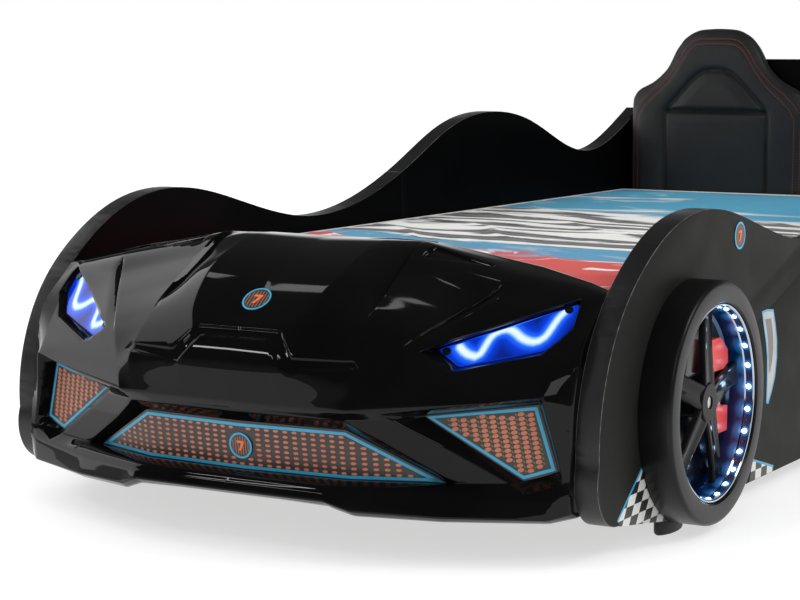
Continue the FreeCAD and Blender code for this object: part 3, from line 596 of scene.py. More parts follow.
def places(made: bpy.types.Object) -> np.ndarray:
    """A piece's points, n by 3.

    Args:
        made: the piece.

    Returns:
        The points in metres.
    """
    rows = np.empty(len(made.data.vertices) * 3)
    made.data.vertices.foreach_get("co", rows)
    return rows.reshape(-1, 3)


def move_to(made: bpy.types.Object, rows: np.ndarray) -> None:
    """Set a piece's points."""
    made.data.vertices.foreach_set("co", rows.ravel())
    made.data.update()


def merged_copy(node: str) -> bmesh.types.BMesh:
    """A CAD node's mesh with its doubles merged.

    Args:
        node: name of the node.

    Returns:
        The mesh; the caller frees it.
    """
    grid = bmesh.new()
    grid.from_mesh(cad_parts[node].data)
    bmesh.ops.remove_doubles(grid, verts=grid.verts, dist=2e-6)
    return grid


def bake(made: bpy.types.Object) -> bpy.types.Object:
    """Turn a piece's live modifiers into plain mesh.

    Args:
        made: the piece.

    Returns:
        The same piece.
    """
    bpy.context.view_layer.update()
    graph = bpy.context.evaluated_depsgraph_get()
    mesh = bpy.data.meshes.new_from_object(made.evaluated_get(graph), depsgraph=graph)
    made.modifiers.clear()
    made.data = mesh
    return made


def modifier(made: bpy.types.Object, kind: str, **settings: object) -> bpy.types.Modifier:
    """Add a modifier with its settings."""
    new = made.modifiers.new(kind.lower(), kind)
    for name, value in settings.items():
        setattr(new, name, value)
    return new


def done(made: bpy.types.Object, body: str, slot: str, *nodes: str) -> bpy.types.Object:
    """Hand a finished piece to the frame.

    Args:
        made: the piece.
        body: the CAD body that it rides on.
        slot: the record's material slot of the piece; not used.
        nodes: CAD nodes that it stands for.

    Returns:
        The piece.
    """
    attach(made, body)
    if nodes:
        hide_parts(*nodes)
    log.info("%s: %d faces, rides on %s, stands for %s", made.name, len(made.data.polygons), body,
             ", ".join(nodes) or "nothing")
    return made


def refined(node: str, name: str, paint: Paint, chamfer: float = 0.8, segments: int = 2) -> bpy.types.Object:
    """Copy a CAD node's mesh, merge it and break its sharp edges.

    Args:
        node: the CAD node.
        name: the new piece's name.
        paint: its finish.
        chamfer: width of the broken edges, in millimetres.
        segments: steps round each broken edge.

    Returns:
        The new piece, with the faces along its edges marked by the edge_band attribute.
    """
    grid = merged_copy(node)
    bmesh.ops.dissolve_limit(grid, angle_limit=math.radians(0.8), verts=grid.verts, edges=grid.edges)
    sharp = [e for e in grid.edges if len(e.link_faces) == 2 and e.calc_face_angle(0.0) > math.radians(28)]
    made_faces = bmesh.ops.bevel(grid, geom=sharp, offset=chamfer * MM, segments=segments, profile=0.5,
                                 affect="EDGES", clamp_overlap=True)["faces"]
    grid.faces.index_update()
    marked = {f.index for f in made_faces if f.is_valid}
    mesh = bpy.data.meshes.new(name)
    grid.to_mesh(mesh)
    grid.free()
    band = mesh.attributes.new("edge_band", "FLOAT", "FACE")
    band.data.foreach_set("value", [1.0 if i in marked else 0.0 for i in range(len(mesh.polygons))])
    mesh.materials.append(paint.stuff())
    mesh.polygons.foreach_set("material_index", [0] * len(mesh.polygons))
    shade(mesh)
    made = bpy.data.objects.new(name, mesh)
    bpy.context.scene.collection.objects.link(made)
    return made


def lathe(name: str, profile: Sequence[Point2], centre: Sequence[float], side: float, paint: Paint,
          turns: int = 128, first: float = 0.0) -> bpy.types.Object:
    """Turn a profile about an axis along X.

    Args:
        name: the piece's name.
        profile: radius and X of each point, in millimetres, anticlockwise with radius to the right.
        centre: Y and Z of the axis, in drawing millimetres.
        side: 1 for the left of the bed, -1 for the right.
        paint: the finish.
        turns: steps round.
        first: angle of the first step, from +Y towards +Z.

    Returns:
        The piece.
    """
    count = len(profile)
    angle = first + np.arange(turns) * math.tau / turns
    points = [(side * x, centre[0] + r * math.cos(a), centre[1] + r * math.sin(a)) for a in angle
              for r, x in profile]
    return outwards(make_mesh(name, put(points), ring_faces(turns, len(profile), True), paints=[paint]))


def ring_faces(rings: int, count: int, closed: bool = False, first: int = 0) -> list[tuple[int, ...]]:
    """Faces between rings of as many points, one ring after another.

    Args:
        rings: how many rings.
        count: points on each ring.
        closed: whether the last ring joins the first; otherwise both ends get a cap.
        first: number of the first point.

    Returns:
        The faces, the caps last.
    """
    faces: list[tuple[int, ...]] = []
    for k in range(rings if closed else rings - 1):
        low, high = first + k * count, first + (k + 1) % rings * count
        faces += [(low + i, low + (i + 1) % count, high + (i + 1) % count, high + i) for i in range(count)]
    if not closed:
        last = first + (rings - 1) * count
        faces += [tuple(range(first, first + count))[::-1], tuple(range(last, last + count))]
    return faces


def area_of(ring: Sequence[Point2]) -> float:
    """Twice the area inside a closed outline, above 0 where it runs anticlockwise."""
    return sum(a[0] * b[1] - b[0] * a[1] for a, b in zip(ring, [*ring[1:], ring[0]]))


def lengths_along(spots: np.ndarray) -> np.ndarray:
    """The way along a line to each of its points."""
    return np.concatenate([[0], np.cumsum(np.linalg.norm(np.diff(spots, axis=0), axis=1))])


def split(outline: Sequence[Point2], step: float, reach: Callable = math.dist) -> list[Point2]:
    """Cut the sides of a closed outline into even runs.

    Args:
        outline: the outline.
        step: the least length of a run.
        reach: what measures a side.

    Returns:
        The outline with its new points.
    """
    out: list[Point2] = []
    for a, b in zip(outline, [*outline[1:], outline[0]]):
        count = max(1, int(reach(a, b) / step))
        out += [(a[0] + (b[0] - a[0]) * k / count, a[1] + (b[1] - a[1]) * k / count) for k in range(count)]
    return out


def round_off(points: Sequence[Point2], radius: float, steps: int = 4) -> list[Point2]:
    """Round every corner of a closed outline.

    Args:
        points: the outline.
        radius: how far the rounding starts from each corner.
        steps: points on each rounding.

    Returns:
        The rounded outline.
    """
    out: list[Point2] = []
    ring = [np.array(p, float) for p in points]
    for i, corner in enumerate(ring):
        before, after = ring[i - 1] - corner, ring[(i + 1) % len(ring)] - corner
        reach_in = min(radius, np.linalg.norm(before) * 0.45)
        reach_out = min(radius, np.linalg.norm(after) * 0.45)
        start = corner + before / np.linalg.norm(before) * reach_in
        end = corner + after / np.linalg.norm(after) * reach_out
        for k in range(steps + 1):
            t = k / steps
            spot = start * (1 - t) ** 2 + corner * 2 * t * (1 - t) + end * t * t
            out.append((float(spot[0]), float(spot[1])))
    return out


def grown(points: Sequence[Point2], amount: float) -> list[Point2]:
    """Move every side of a closed outline outwards.

    Args:
        points: the outline.
        amount: how far, negative for inwards.

    Returns:
        The outline with the same number of points.
    """
    ring = np.array(points, float)
    turn = 1.0 if area_of(points) > 0 else -1.0
    out = []
    for i in range(len(ring)):
        a, b, c = ring[i - 1], ring[i], ring[(i + 1) % len(ring)]
        first, second = (b - a) / np.linalg.norm(b - a), (c - b) / np.linalg.norm(c - b)
        one, two = np.array([first[1], -first[0]]) * turn, np.array([second[1], -second[0]]) * turn
        middle = one + two
        out.append(tuple(b + middle * amount / max(0.35, 1.0 + float(one @ two))))
    return out


def from_line(spots: np.ndarray, line: Sequence[Point2]) -> np.ndarray:
    """Distance of points, n by 2, to an open line.

    Args:
        spots: the points.
        line: the line's corners.

    Returns:
        The distance of each.
    """
    near = np.full(len(spots), 1e9)
    corners = np.array(line, float)
    for a, b in zip(corners[:-1], corners[1:]):
        way = b - a
        t = np.clip(((spots - a) @ way) / max(1e-9, way @ way), 0.0, 1.0)
        near = np.minimum(near, np.linalg.norm(spots - a - t[:, None] * way, axis=1))
    return near


def distance_to(spots: np.ndarray, outline: Sequence[Point2]) -> np.ndarray:
    """Signed distance of points, n by 2, to a closed outline, above 0 inside.

    Args:
        spots: the points.
        outline: the outline's corners.

    Returns:
        The distance of each.
    """
    ring = np.array([*outline, outline[0]], float)
    inside = np.zeros(len(spots), bool)
    for a, b in zip(ring[:-1], ring[1:]):
        crosses = (a[1] > spots[:, 1]) != (b[1] > spots[:, 1])
        rise = b[1] - a[1] if abs(b[1] - a[1]) > 1e-12 else 1e-12
        inside ^= crosses & (spots[:, 0] < a[0] + (spots[:, 1] - a[1]) / rise * (b[0] - a[0]))
    best = from_line(spots, ring)
    return np.where(inside, best, -best)


def triangulate(points: np.ndarray, lines: Sequence[np.ndarray], kind: int) -> tuple[np.ndarray, list]:
    """Triangles over loose points with lines kept as edges.

    Args:
        points: loose points, n by 2.
        lines: polylines whose runs stay as edges; a closed one repeats its first point.
        kind: 0 keeps the convex hull, 1 only what the lines enclose.

    Returns:
        The points and the triangles.
    """
    spots = [Vector(p) for p in points]
    edges = []
    for line in lines:
        first = len(spots)
        spots.extend(Vector(p) for p in line)
        edges.extend((i, i + 1) for i in range(first, len(spots) - 1))
    out = geometry.delaunay_2d_cdt(spots, edges, [], kind, 1e-4)
    return np.array([tuple(p) for p in out[0]]), [tuple(f) for f in out[2]]


# ---------------------------------------------------------------- nose


@dataclass
class NoseSurface:
    """The shell's face, by the place across it and the way down it, in drawing millimetres."""

    samples: int = 800
    soften: float = 2.6
    rows: np.ndarray = field(init=False)
    way: np.ndarray = field(init=False)
    curves: np.ndarray = field(init=False)

    ROWS = [
        [(0, 140, 419), (112, 140, 420), (174, 140, 418), (345, 138, 391), (422, 132, 373),
         (461.6, 118, 363)],
        [(0, 84, 417), (112, 84, 421), (171, 84, 420), (340, 67, 384), (424, 96, 370), (461.6, 91, 361)],
        [(0, 20, 401), (111, 20, 404), (175, 26, 388), (312, 20, 357), (432, 62, 352), (461.6, 66, 342)],
        [(0, -34, 374), (110, -34, 379), (177, -24, 358), (283, -30, 331), (430, 10, 298), (461.6, 23, 307)],
        [(0, -100, 325), (92, -100, 328), (177, -82, 320), (245, -84, 298), (428, -14, 268), (461.6, 8, 276)],
        [(0, -124, 305), (76, -124, 305), (178, -108, 296), (228, -104, 281), (428, -24, 252),
         (461.6, 4, 262)],
        [(0, -147, 266), (84, -147, 266), (180, -135, 258), (206, -128, 244), (428, -34, 238),
         (461.6, 0, 240)],
        [(0, -148, 212), (80, -147, 212), (160, -146, 212), (190, -144, 212), (430, -37, 232),
         (461.6, -3, 222)],
        [(0, -138, 198), (80, -137, 198), (140, -136, 198), (182, -132, 198), (436, -30, 196),
         (461.6, -7, 190)],
        [(0, -132, 176), (80, -129, 176), (150, -124, 176), (208, -108, 166), (444, -22, 160),
         (461.6, -12, 160)],
        [(0, -120, 110), (80, -119, 110), (172, -108, 110), (296, -66, 110), (446, -20, 118),
         (461.6, -16, 120)],
        [(0, -152, 101), (80, -151, 101), (158, -149, 101), (300, -90, 99), (444, -30, 98),
         (461.6, -18, 104)],
        [(0, -156, 76), (81, -155, 76), (162, -153, 76), (304, -98, 70), (438, -36, 69), (461.6, -14, 76)],
        [(0, -142, 69), (80, -141, 69), (164, -138, 67), (304, -84, 62), (434, -22, 62), (461.6, 4, 68)]]
    BENDS = 7
    LIP = 11

    def __post_init__(self) -> None:
        """Join each rail's points: a smooth line down the bonnet, straight runs below it."""
        self.rows = np.array(self.ROWS, float)
        rails = self.rows.transpose(1, 0, 2)
        gaps = np.linalg.norm(np.diff(rails, axis=1), axis=2).mean(0)
        self.way = np.concatenate([[0.0], np.cumsum(gaps)])
        at = np.linspace(0.0, self.way[-1], self.samples)
        self.curves = np.stack([self._rail(r, at) for r in rails])

    def _rail(self, rail: np.ndarray, at: np.ndarray) -> np.ndarray:
        """Points on one rail at given ways down."""
        slope = np.gradient(rail[:self.BENDS + 1], self.way[:self.BENDS + 1], axis=0)
        out = np.stack([np.interp(at, self.way, rail[:, k]) for k in range(3)], axis=1)
        for i in range(self.BENDS):
            low, high = self.way[i], self.way[i + 1]
            pick = (at >= low) & (at <= high)
            t = ((at[pick] - low) / (high - low))[:, None]
            span = high - low
            out[pick] = ((2 * t ** 3 - 3 * t ** 2 + 1) * rail[i] + (t ** 3 - 2 * t ** 2 + t) * span * slope[i]
                         + (3 * t ** 2 - 2 * t ** 3) * rail[i + 1] + (t ** 3 - t ** 2) * span * slope[i + 1])
        return out

    def plain(self, x: np.ndarray, s: np.ndarray) -> np.ndarray:
        """Y and Z of the face with its creases sharp."""
        place = np.clip(s / self.way[-1], 0.0, 1.0) * (self.samples - 1)
        low = np.minimum(place.astype(int), self.samples - 2)
        share = (place - low)[None, :, None]
        rail = self.curves[:, low] * (1 - share) + self.curves[:, low + 1] * share
        across = np.minimum(np.abs(x), rail[-1, :, 0])
        out = rail[0][:, 1:].copy()
        for j in range(len(rail) - 1):
            inside = across >= rail[j, :, 0]
            run = np.maximum(1e-6, rail[j + 1, :, 0] - rail[j, :, 0])
            t = np.clip((across - rail[j, :, 0]) / run, 0.0, 1.0)[:, None]
            out[inside] = (rail[j][:, 1:] * (1 - t) + rail[j + 1][:, 1:] * t)[inside]
        return out

    def face(self, x: np.ndarray, s: np.ndarray) -> np.ndarray:
        """X, Y and Z of the face with its creases rounded."""
        weights = np.array([1.0, 4.0, 6.0, 4.0, 1.0]) / 16.0
        steps = np.array([-1.0, -0.5, 0.0, 0.5, 1.0]) * self.soften
        total = np.zeros((len(x), 2))
        below = np.clip((s - self.way[self.BENDS]) / 20.0, 0.0, 1.0)
        lip = ease(1.0 - np.abs(s - self.way[self.LIP]) / 14.0)
        wide = 1.0 - 0.6 * below + 2.6 * lip
        for wx, dx in zip(weights, steps):
            for ws, ds in zip(weights, steps):
                total += wx * ws * self.plain(x + dx * wide * 1.3, s + ds * wide)
        return np.column_stack([x, total])

    def down(self, x: np.ndarray, value: np.ndarray, axis: int) -> np.ndarray:
        """Way down the face at which Y (axis 0) or Z (axis 1) falls to a value, for each place across."""
        at = np.linspace(0.0, self.way[-1], 900)
        out = []
        for one, goal in zip(x, value):
            run = self.plain(np.full(len(at), one), at)[:, axis]
            past = np.nonzero(run < goal)[0]
            k = max(1, int(past[0])) if len(past) else len(at) - 1
            t = np.clip((run[k - 1] - goal) / max(1e-9, run[k - 1] - run[k]), 0.0, 1.0)
            out.append(at[k - 1] + t * (at[k] - at[k - 1]))
        return np.array(out)

    def trace(self, outline: Sequence[Point2], axis: int = 1, step: float = 9.0) -> list[Point2]:
        """Carry an outline drawn over X and Y, or X and Z, onto the face."""
        spots = np.array(split(outline, step))
        return list(zip(spots[:, 0].tolist(), self.down(spots[:, 0], spots[:, 1], axis).tolist()))


@dataclass(frozen=True)
class Plane:
    """A flat plate's front face."""

    spot: np.ndarray
    normal: np.ndarray

    def y(self, x: np.ndarray, z: np.ndarray) -> np.ndarray:
        """Y of the plane over X and Z."""
        lean = (x - self.spot[0]) * self.normal[0] + (z - self.spot[2]) * self.normal[2]
        return self.spot[1] - lean / self.normal[1]

    def sunk(self, depth: float) -> "Plane":
        """The plane moved inwards."""
        return Plane(self.spot - self.normal * depth, self.normal)


def front_plane(node: str) -> Plane:
    """The front face of a flat CAD plate, in drawing millimetres.

    Args:
        node: name of the node.

    Returns:
        The plane of its face.
    """
    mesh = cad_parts[node].data
    total, spot, area = np.zeros(3), np.zeros(3), 0.0
    for face in mesh.polygons:
        if face.normal.y < -0.5:
            total += np.array(face.normal) * face.area
            spot += np.array(face.center) * face.area
            area += face.area
    spot = (spot / area - np.array([0.0, FRONT_EDGE, 0.0])) / MM
    return Plane(spot, total / np.linalg.norm(total))


@dataclass
class FrontShell:
    """The one-piece glossy nose: bonnet, lamp recesses, grille mouths and lip."""

    surface: NoseSurface
    spacing: float = 5.2
    wall: float = 3.6
    lens_sunk: float = 4.0
    groove_depth: float = 2.6
    louvre_depth: float = 5.0
    lip_rise: float = 11.0
    lip_crown: float = 7.0
    rim_round: float = 1.8
    half: float = 461.6
    trim: float = 2.4
    flange: float = 24.0

    MOUTH_RIM = [(-178, 196), (178, 196), (330, 100), (-330, 100)]
    MOUTH_PLATE = [(-168, 178), (168, 178), (294, 109), (-294, 109)]
    SIDE_RIM = [(226, 207), (429, 235), (453, 116), (405, 102)]
    SIDE_PLATE = [(267, 201), (412, 220), (437, 131), (394, 117)]
    LENS_RIM = [(267, 290), (309, 265), (412, 288), (440, 320), (436, 358)]
    LENS = [(271.5, 290.2), (309.8, 268.0), (410.6, 290.6), (436.0, 319.8), (433.4, 351.8)]
    GROOVE = [(-40, 311), (70, 311), (100, 278), (188, 278), (198, 268), (87, 260), (58, 298), (-40, 298)]
    LOUVRE = [(190, 56), (300, 78), (196, 92)]
    BADGE_Y = -74.0
    VALLEY = [(176, -84), (177, -60), (177.5, -19), (175, 30), (171, 84), (170, 120)]
    BROW = [(236, -98), (262, -62), (285, -27), (312, 18), (332, 52)]

    def build(self) -> bpy.types.Object:
        """Make the shell as one closed skin with a wall."""
        face = self.surface
        lens = front_plane("headlight_lens_left")
        side = front_plane("side_grille_left")
        funnels = [
            (face.trace(self.LENS_RIM), face.trace(self.LENS), lens.sunk(self.lens_sunk + 1.2)),
            (face.trace(self.SIDE_RIM), face.trace(self.SIDE_PLATE), side.sunk(1.5)),
            (self._held(face.trace(self.MOUTH_RIM)), face.trace(self.MOUTH_PLATE), None)]
        groove, louvre = face.trace(self.GROOVE), face.trace(self.LOUVRE, axis=0)
        folds = self._folds()
        lines = self._lines(funnels, groove, louvre, folds)
        spots = self._spots(lines)
        flat, faces = triangulate(spots, lines, 0)
        flat[:, 0] = np.where(flat[:, 0] < 0.02, 0.0, flat[:, 0])
        points = self._shape(flat, funnels, groove, louvre, folds)
        keep = [f for f in faces if flat[list(f), 0].min() > -0.5]
        count = len(points)
        mirrored = points * np.array([-1.0, 1.0, 1.0])
        both = np.concatenate([points, mirrored])
        turned = [f[::-1] if self._anticlockwise(flat, f) else f for f in keep]
        skins = turned + [tuple(i + count for i in f[::-1]) for f in turned]
        pale = [1 if max(flat[i, 1] for i in f) < self.trim + 0.05 else 0 for f in turned]
        made = make_mesh("front_shell_skin", put(both), skins, smooth=False,
                         paints=[Paint.SHELL, Paint.PALE_EDGE],
                         picks=pale + pale)
        grid = bmesh.new()
        grid.from_mesh(made.data)
        bmesh.ops.remove_doubles(grid, verts=grid.verts, dist=2e-5)
        bmesh.ops.dissolve_degenerate(grid, dist=1e-5, edges=grid.edges)
        sides = [e for e in grid.edges if e.is_boundary
                 and all(abs(v.co.x) > (self.half - 0.05) * MM for v in e.verts)]
        new = bmesh.ops.extrude_edge_only(grid, edges=sides)["geom"]
        for vert in (v for v in new if isinstance(v, bmesh.types.BMVert)):
            vert.co.y = min(vert.co.y + self.flange * MM, 139.5 * MM + FRONT_EDGE)
        grid.to_mesh(made.data)
        grid.free()
        shade(made.data, math.radians(62))
        modifier(made, "SOLIDIFY", thickness=self.wall * MM, offset=-1.0, use_rim=True)
        return done(bake(made), "base", "shell_gloss_black", "front_shell")

    def badge(self) -> None:
        """The roundel that stands on the middle of the bonnet."""
        place = self.surface.down(np.array([0.0]), np.array([self.BADGE_Y]), 0)
        zero = np.zeros(1)
        spot = self.surface.face(zero, place)[0]
        up = self.surface.face(zero, place - 8.0)[0] - self.surface.face(zero, place + 8.0)[0]
        ground = Sheet2(spot, np.array([1.0, 0.0, 0.0]), up / np.linalg.norm(up))
        stack = PrintStack("bonnet_roundel")
        Roundel(22.0, 2.6).lay(stack, ground)
        done(stack.build(), "base", "shell_gloss_black")

    def _held(self, ring: Sequence[Point2]) -> list[Point2]:
        """An outline kept behind the lip's front edge."""
        last = float(self.surface.way[self.surface.LIP]) - 3.0
        return [(x, min(s, last)) for x, s in ring]

    @staticmethod
    def _anticlockwise(flat: np.ndarray, face: Sequence[int]) -> bool:
        """Whether a triangle turns anticlockwise over place and way down, seen from behind the skin."""
        a, b, c = (flat[i] for i in face[:3])
        return bool((b[0] - a[0]) * (c[1] - a[1]) - (b[1] - a[1]) * (c[0] - a[0]) > 0)

    def _folds(self) -> list[tuple[np.ndarray, float, float, float]]:
        """The sunk creases of the bonnet: line, depth, and reach towards the middle and away from it."""
        out = []
        for path, depth, inner, outer in ((self.VALLEY, 7.0, 46.0, 2.6), (self.BROW, 4.5, 2.6, 20.0)):
            spots = np.array(path, float)
            fine = np.linspace(0, len(spots) - 1, 5 * len(spots))
            x = np.interp(fine, np.arange(len(spots)), spots[:, 0])
            y = np.interp(fine, np.arange(len(spots)), spots[:, 1])
            out.append((np.column_stack([x, self.surface.down(x, y, 0)]), depth, inner, outer))
        return out

    @staticmethod
    def _press(flat: np.ndarray, fold: tuple[np.ndarray, float, float, float]) -> np.ndarray:
        """How deep a fold sinks each flat point: steep on one side, long on the other, faded at its ends."""
        line, depth, inner, outer = fold
        lengths = lengths_along(line)
        near, side, place = np.full(len(flat), 1e9), np.zeros(len(flat)), np.zeros(len(flat))
        for k, (a, b) in enumerate(zip(line[:-1], line[1:])):
            way = b - a
            t = np.clip(((flat - a) @ way) / (way @ way), 0, 1)
            gap = flat - a - t[:, None] * way
            far = np.linalg.norm(gap, axis=1)
            closer = far < near
            near = np.where(closer, far, near)
            side = np.where(closer, np.sign(flat[:, 0] - a[0] - t * way[0]), side)
            place = np.where(closer, (lengths[k] + t * (lengths[k + 1] - lengths[k])) / lengths[-1], place)
        reach = np.where(side > 0, outer, inner)
        slope = np.clip(1.0 - near / reach, 0.0, 1.0)
        profile = np.where(reach > 10, slope ** 2, ease(slope))
        return depth * profile * ease(place / 0.35) * ease((1.0 - place) / 0.12)

    def _lines(self, funnels: Sequence[tuple], groove: list[Point2], louvre: list[Point2],
               folds: Sequence[tuple]) -> list[np.ndarray]:
        """Edges that the skin's triangles must follow: creases, rims, walls and the border."""
        face = self.surface
        rings = []
        for rim, floor, _ in funnels:
            rings += [grown(rim, self.rim_round), grown(rim, 0.8), rim, grown(rim, -1.0), grown(rim, -2.2),
                      grown(floor, 0.8), floor]
        for ring in (groove, louvre):
            rings += [grown(ring, 1.0), grown(ring, 0.2), grown(ring, -0.7), grown(ring, -1.6),
                      grown(ring, -2.6)]
        lines = [np.array(list(r) + [r[0]]) for r in rings]
        for line, _, inner, outer in folds:
            for off in (-min(inner, 3.0), 0.0, min(outer, 3.0)):
                lines.append(line + np.array([off, 0.0]))
        lines.append(np.column_stack([np.linspace(0, self.half, 100), np.full(100, self.trim)]))
        at = np.linspace(0.0, face.way[-1], 120)
        ends = face.way[face.BENDS]
        for rail in range(1, 5):
            x = np.interp(at, np.linspace(0, face.way[-1], face.samples), face.curves[rail, :, 0])
            for off in (-3.4, -1.7, 0.0, 1.7, 3.4):
                pick = at <= ends
                lines.append(np.column_stack([x[pick] + off, at[pick]]))
        for row in range(face.BENDS, len(face.way) - 1):
            for off in (-5.0, -2.5, 0.0, 2.5, 5.0) if row == face.LIP else (-2.0, 0.0, 2.0):
                across = np.linspace(0.0, self.half, 90)
                lines.append(np.column_stack([across, np.full(90, face.way[row] + off)]))
        kept = []
        for line in lines:
            inside = ((line >= 0.0) & (line <= (self.half, face.way[-1]))).all(axis=1)
            breaks = np.nonzero(np.diff(inside))[0] + 1
            runs = zip(np.split(line, breaks), np.split(inside, breaks))
            kept += [run for run, good in runs if good[0] and len(run) > 1]
        return kept

    def _spots(self, lines: Sequence[np.ndarray]) -> np.ndarray:
        """Loose points of the skin: an even grid without those that crowd a line, and the border."""
        face = self.surface
        across = np.linspace(0.0, self.half, int(self.half / self.spacing) + 1)
        down = np.linspace(0.0, face.way[-1], int(face.way[-1] / self.spacing) + 1)
        grid = np.array(np.meshgrid(across, down)).reshape(2, -1).T
        border = ((grid[:, 0] < 0.1) | (grid[:, 0] > self.half - 0.1) | (grid[:, 1] < 0.1)
                  | (grid[:, 1] > face.way[-1] - 0.1))
        near = np.full(len(grid), 1e9)
        for line in lines:
            low, high = line.min(0) - 4.0, line.max(0) + 4.0
            pick = np.nonzero(((grid > low) & (grid < high)).all(1))[0]
            near[pick] = np.minimum(near[pick], from_line(grid[pick], line))
        return grid[border | (near > self.spacing * 0.42)]

    def _shape(self, flat: np.ndarray, funnels: Sequence[tuple], groove: list[Point2], louvre: list[Point2],
               folds: Sequence[tuple]) -> np.ndarray:
        """Lift flat points onto the face and press the recesses into it.

        Args:
            flat: place across and way down of each point.
            funnels: rim, floor and plane of each recess with a plate; the mouth's is a bent plate.
            groove: outline of the sunk line across the bonnet.
            louvre: outline of the slot near the bonnet's rear.
            folds: the sunk creases.

        Returns:
            X, Y and Z of each point.
        """
        face = self.surface
        x, s = flat[:, 0], flat[:, 1]
        points = face.face(x, s)
        step = 1.5
        over = face.face(x + step, s) - face.face(x - step, s)
        fall = face.face(x, s + step) - face.face(x, s - step)
        over[:, 0] = 2 * step
        fall[:, 0] = 0.0
        normal = np.cross(fall, over)
        normal /= np.maximum(1e-9, np.linalg.norm(normal, axis=1))[:, None]
        normal *= np.where(normal[:, 1] - normal[:, 2] * 0.55 > 0, -1.0, 1.0)[:, None]
        for outline, depth in ((groove, self.groove_depth), (louvre, self.louvre_depth)):
            press = depth * ease((distance_to(flat, outline) + 1.0) / 3.6)
            points -= normal * press[:, None]
        for fold in folds:
            points -= normal * self._press(flat, fold)[:, None]
        for rim, floor, plane in funnels:
            inside, left = distance_to(flat, rim), -distance_to(flat, floor)
            lip = self.rim_round
            soft = np.where(inside > lip, inside, np.maximum(0.0, inside + lip) ** 2 / (4.0 * lip))
            share = np.where(left <= 0, 1.0, soft / np.maximum(1e-6, soft + left))
            share = np.where(inside < -lip, 0.0, share)
            goal = self.mouth_y(points[:, 0], points[:, 2]) + 1.5 if plane is None else \
                plane.y(points[:, 0], points[:, 2])
            points[:, 1] += (goal - points[:, 1]) * share
        low = ease((s - face.way[11]) / (face.way[12] - face.way[11]))
        points[:, 2] += self.lip_rise * (1.0 - np.clip((x - 158.0) / 34.0, 0.0, 1.0)) * low
        lip = np.clip((s - face.way[10] - 4.0) / (face.way[11] - face.way[10] - 4.0), 0.0, 1.0)
        points[:, 2] += self.lip_crown * np.sin(math.pi * lip ** 1.4) * (1.0 - ease((x - 300.0) / 60.0))
        return points

    @staticmethod
    def mouth_y(x: np.ndarray, z: np.ndarray) -> np.ndarray:
        """Front face of the centre grille, which bends at its middle."""
        low = np.interp(np.abs(x), [0.0, 168.0, 302.0, 360.0], [-111.0, -99.0, -48.0, -26.0])
        return low - 0.148 * (z - 103.0)


# ---------------------------------------------------------------- boards


@dataclass
class Boards:
    """Side panels, headboard, front board and what holds them together, each from its CAD node."""

    def build(self) -> None:
        """Make every board with broken edges."""
        for side, sign in SIDES:
            for end in AXLES:
                node = f"side_panel_{side}_{end}"
                made = refined(node, node + "_board", Paint.PANEL, 1.0)
                self._faced(made, sign)
                done(made, "base", "panel_black", node)
            for node, paint, slot in ((f"joint_plate_{side}", Paint.WOOD, "inner_wood"),
                                      (f"side_rail_{side}", Paint.WOOD, "inner_wood")):
                done(refined(node, node + "_board", paint, 0.6), "base", slot, node)
        self._edged("headboard_panel")
        self._feet()
        for node, paint, slot, cut in (
                ("front_board", Paint.WOOD, "inner_wood", 0.5),
                ("centre_beam", Paint.WOOD, "inner_wood", 1.5), ("beam_legs", Paint.WOOD, "inner_wood", 1.5),
                ("slats", Paint.SLAT, "slat_wood", 2.0), ("light_supply", Paint.SUPPLY, "panel_black", 1.0),
                ("slat_straps", Paint.STRAP, "strap_web", 0.3)):
            done(refined(node, node + "_dressed", paint, cut), "base", slot, node)

    @staticmethod
    def _feet() -> None:
        """The glides: one oval stud in the place of each foot of the CAD node."""
        grid = merged_copy("glide_feet")
        left, spots, size = set(grid.verts), [], np.zeros(3)
        while left:
            island, queue = set(), [left.pop()]
            while queue:
                vert = queue.pop()
                island.add(vert)
                fresh = {e.other_vert(vert) for e in vert.link_edges} & left
                left -= fresh
                queue += fresh
            rows = np.array([v.co for v in island])
            spots.append((rows.min(0) + rows.max(0)) / 2)
            size = (rows.max(0) - rows.min(0)) / MM
        grid.free()
        count = len(spots)
        studs = Repeat(Item.DISC, tuple(size), Paint.FOOT, 32).build(
            "glide_feet_studs", np.array(spots), np.tile((0.0, 0.0, 1.0), (count, 1)),
            np.tile((1.0, 0.0, 0.0), (count, 1)))
        modifier(studs, "BEVEL", width=5.0 * MM, segments=3, limit_method="ANGLE")
        bake(studs)
        shade(studs.data)
        done(studs, "base", "foot_plastic", "glide_feet")

    @staticmethod
    def _edged(node: str) -> None:
        """Make the headboard: faces in the painted-shade copy of the panel black, with its wrapped edge above
        and at its sides.
        """
        made = refined(node, node + "_dressed", Paint.PANEL_PAINTED_SHADE, 1.0)
        made.data.materials.append(Paint.PANEL_EDGE.stuff())
        for face in made.data.polygons:
            face.material_index = 0 if abs(face.normal.y) > 0.9 else 1
        done(made, "base", "panel_black", node)

    @staticmethod
    def _faced(made: bpy.types.Object, sign: float) -> None:
        """Give a side panel its inner face in the painted-shade copy of its black, and its wrapped edge."""
        for paint in (Paint.PANEL_PAINTED_SHADE, Paint.PANEL_EDGE):
            made.data.materials.append(paint.stuff())
        for face in made.data.polygons:
            look = face.normal.x * sign
            face.material_index = 0 if look > 0.9 else 1 if look < -0.9 else 2


# ---------------------------------------------------------------- wheels


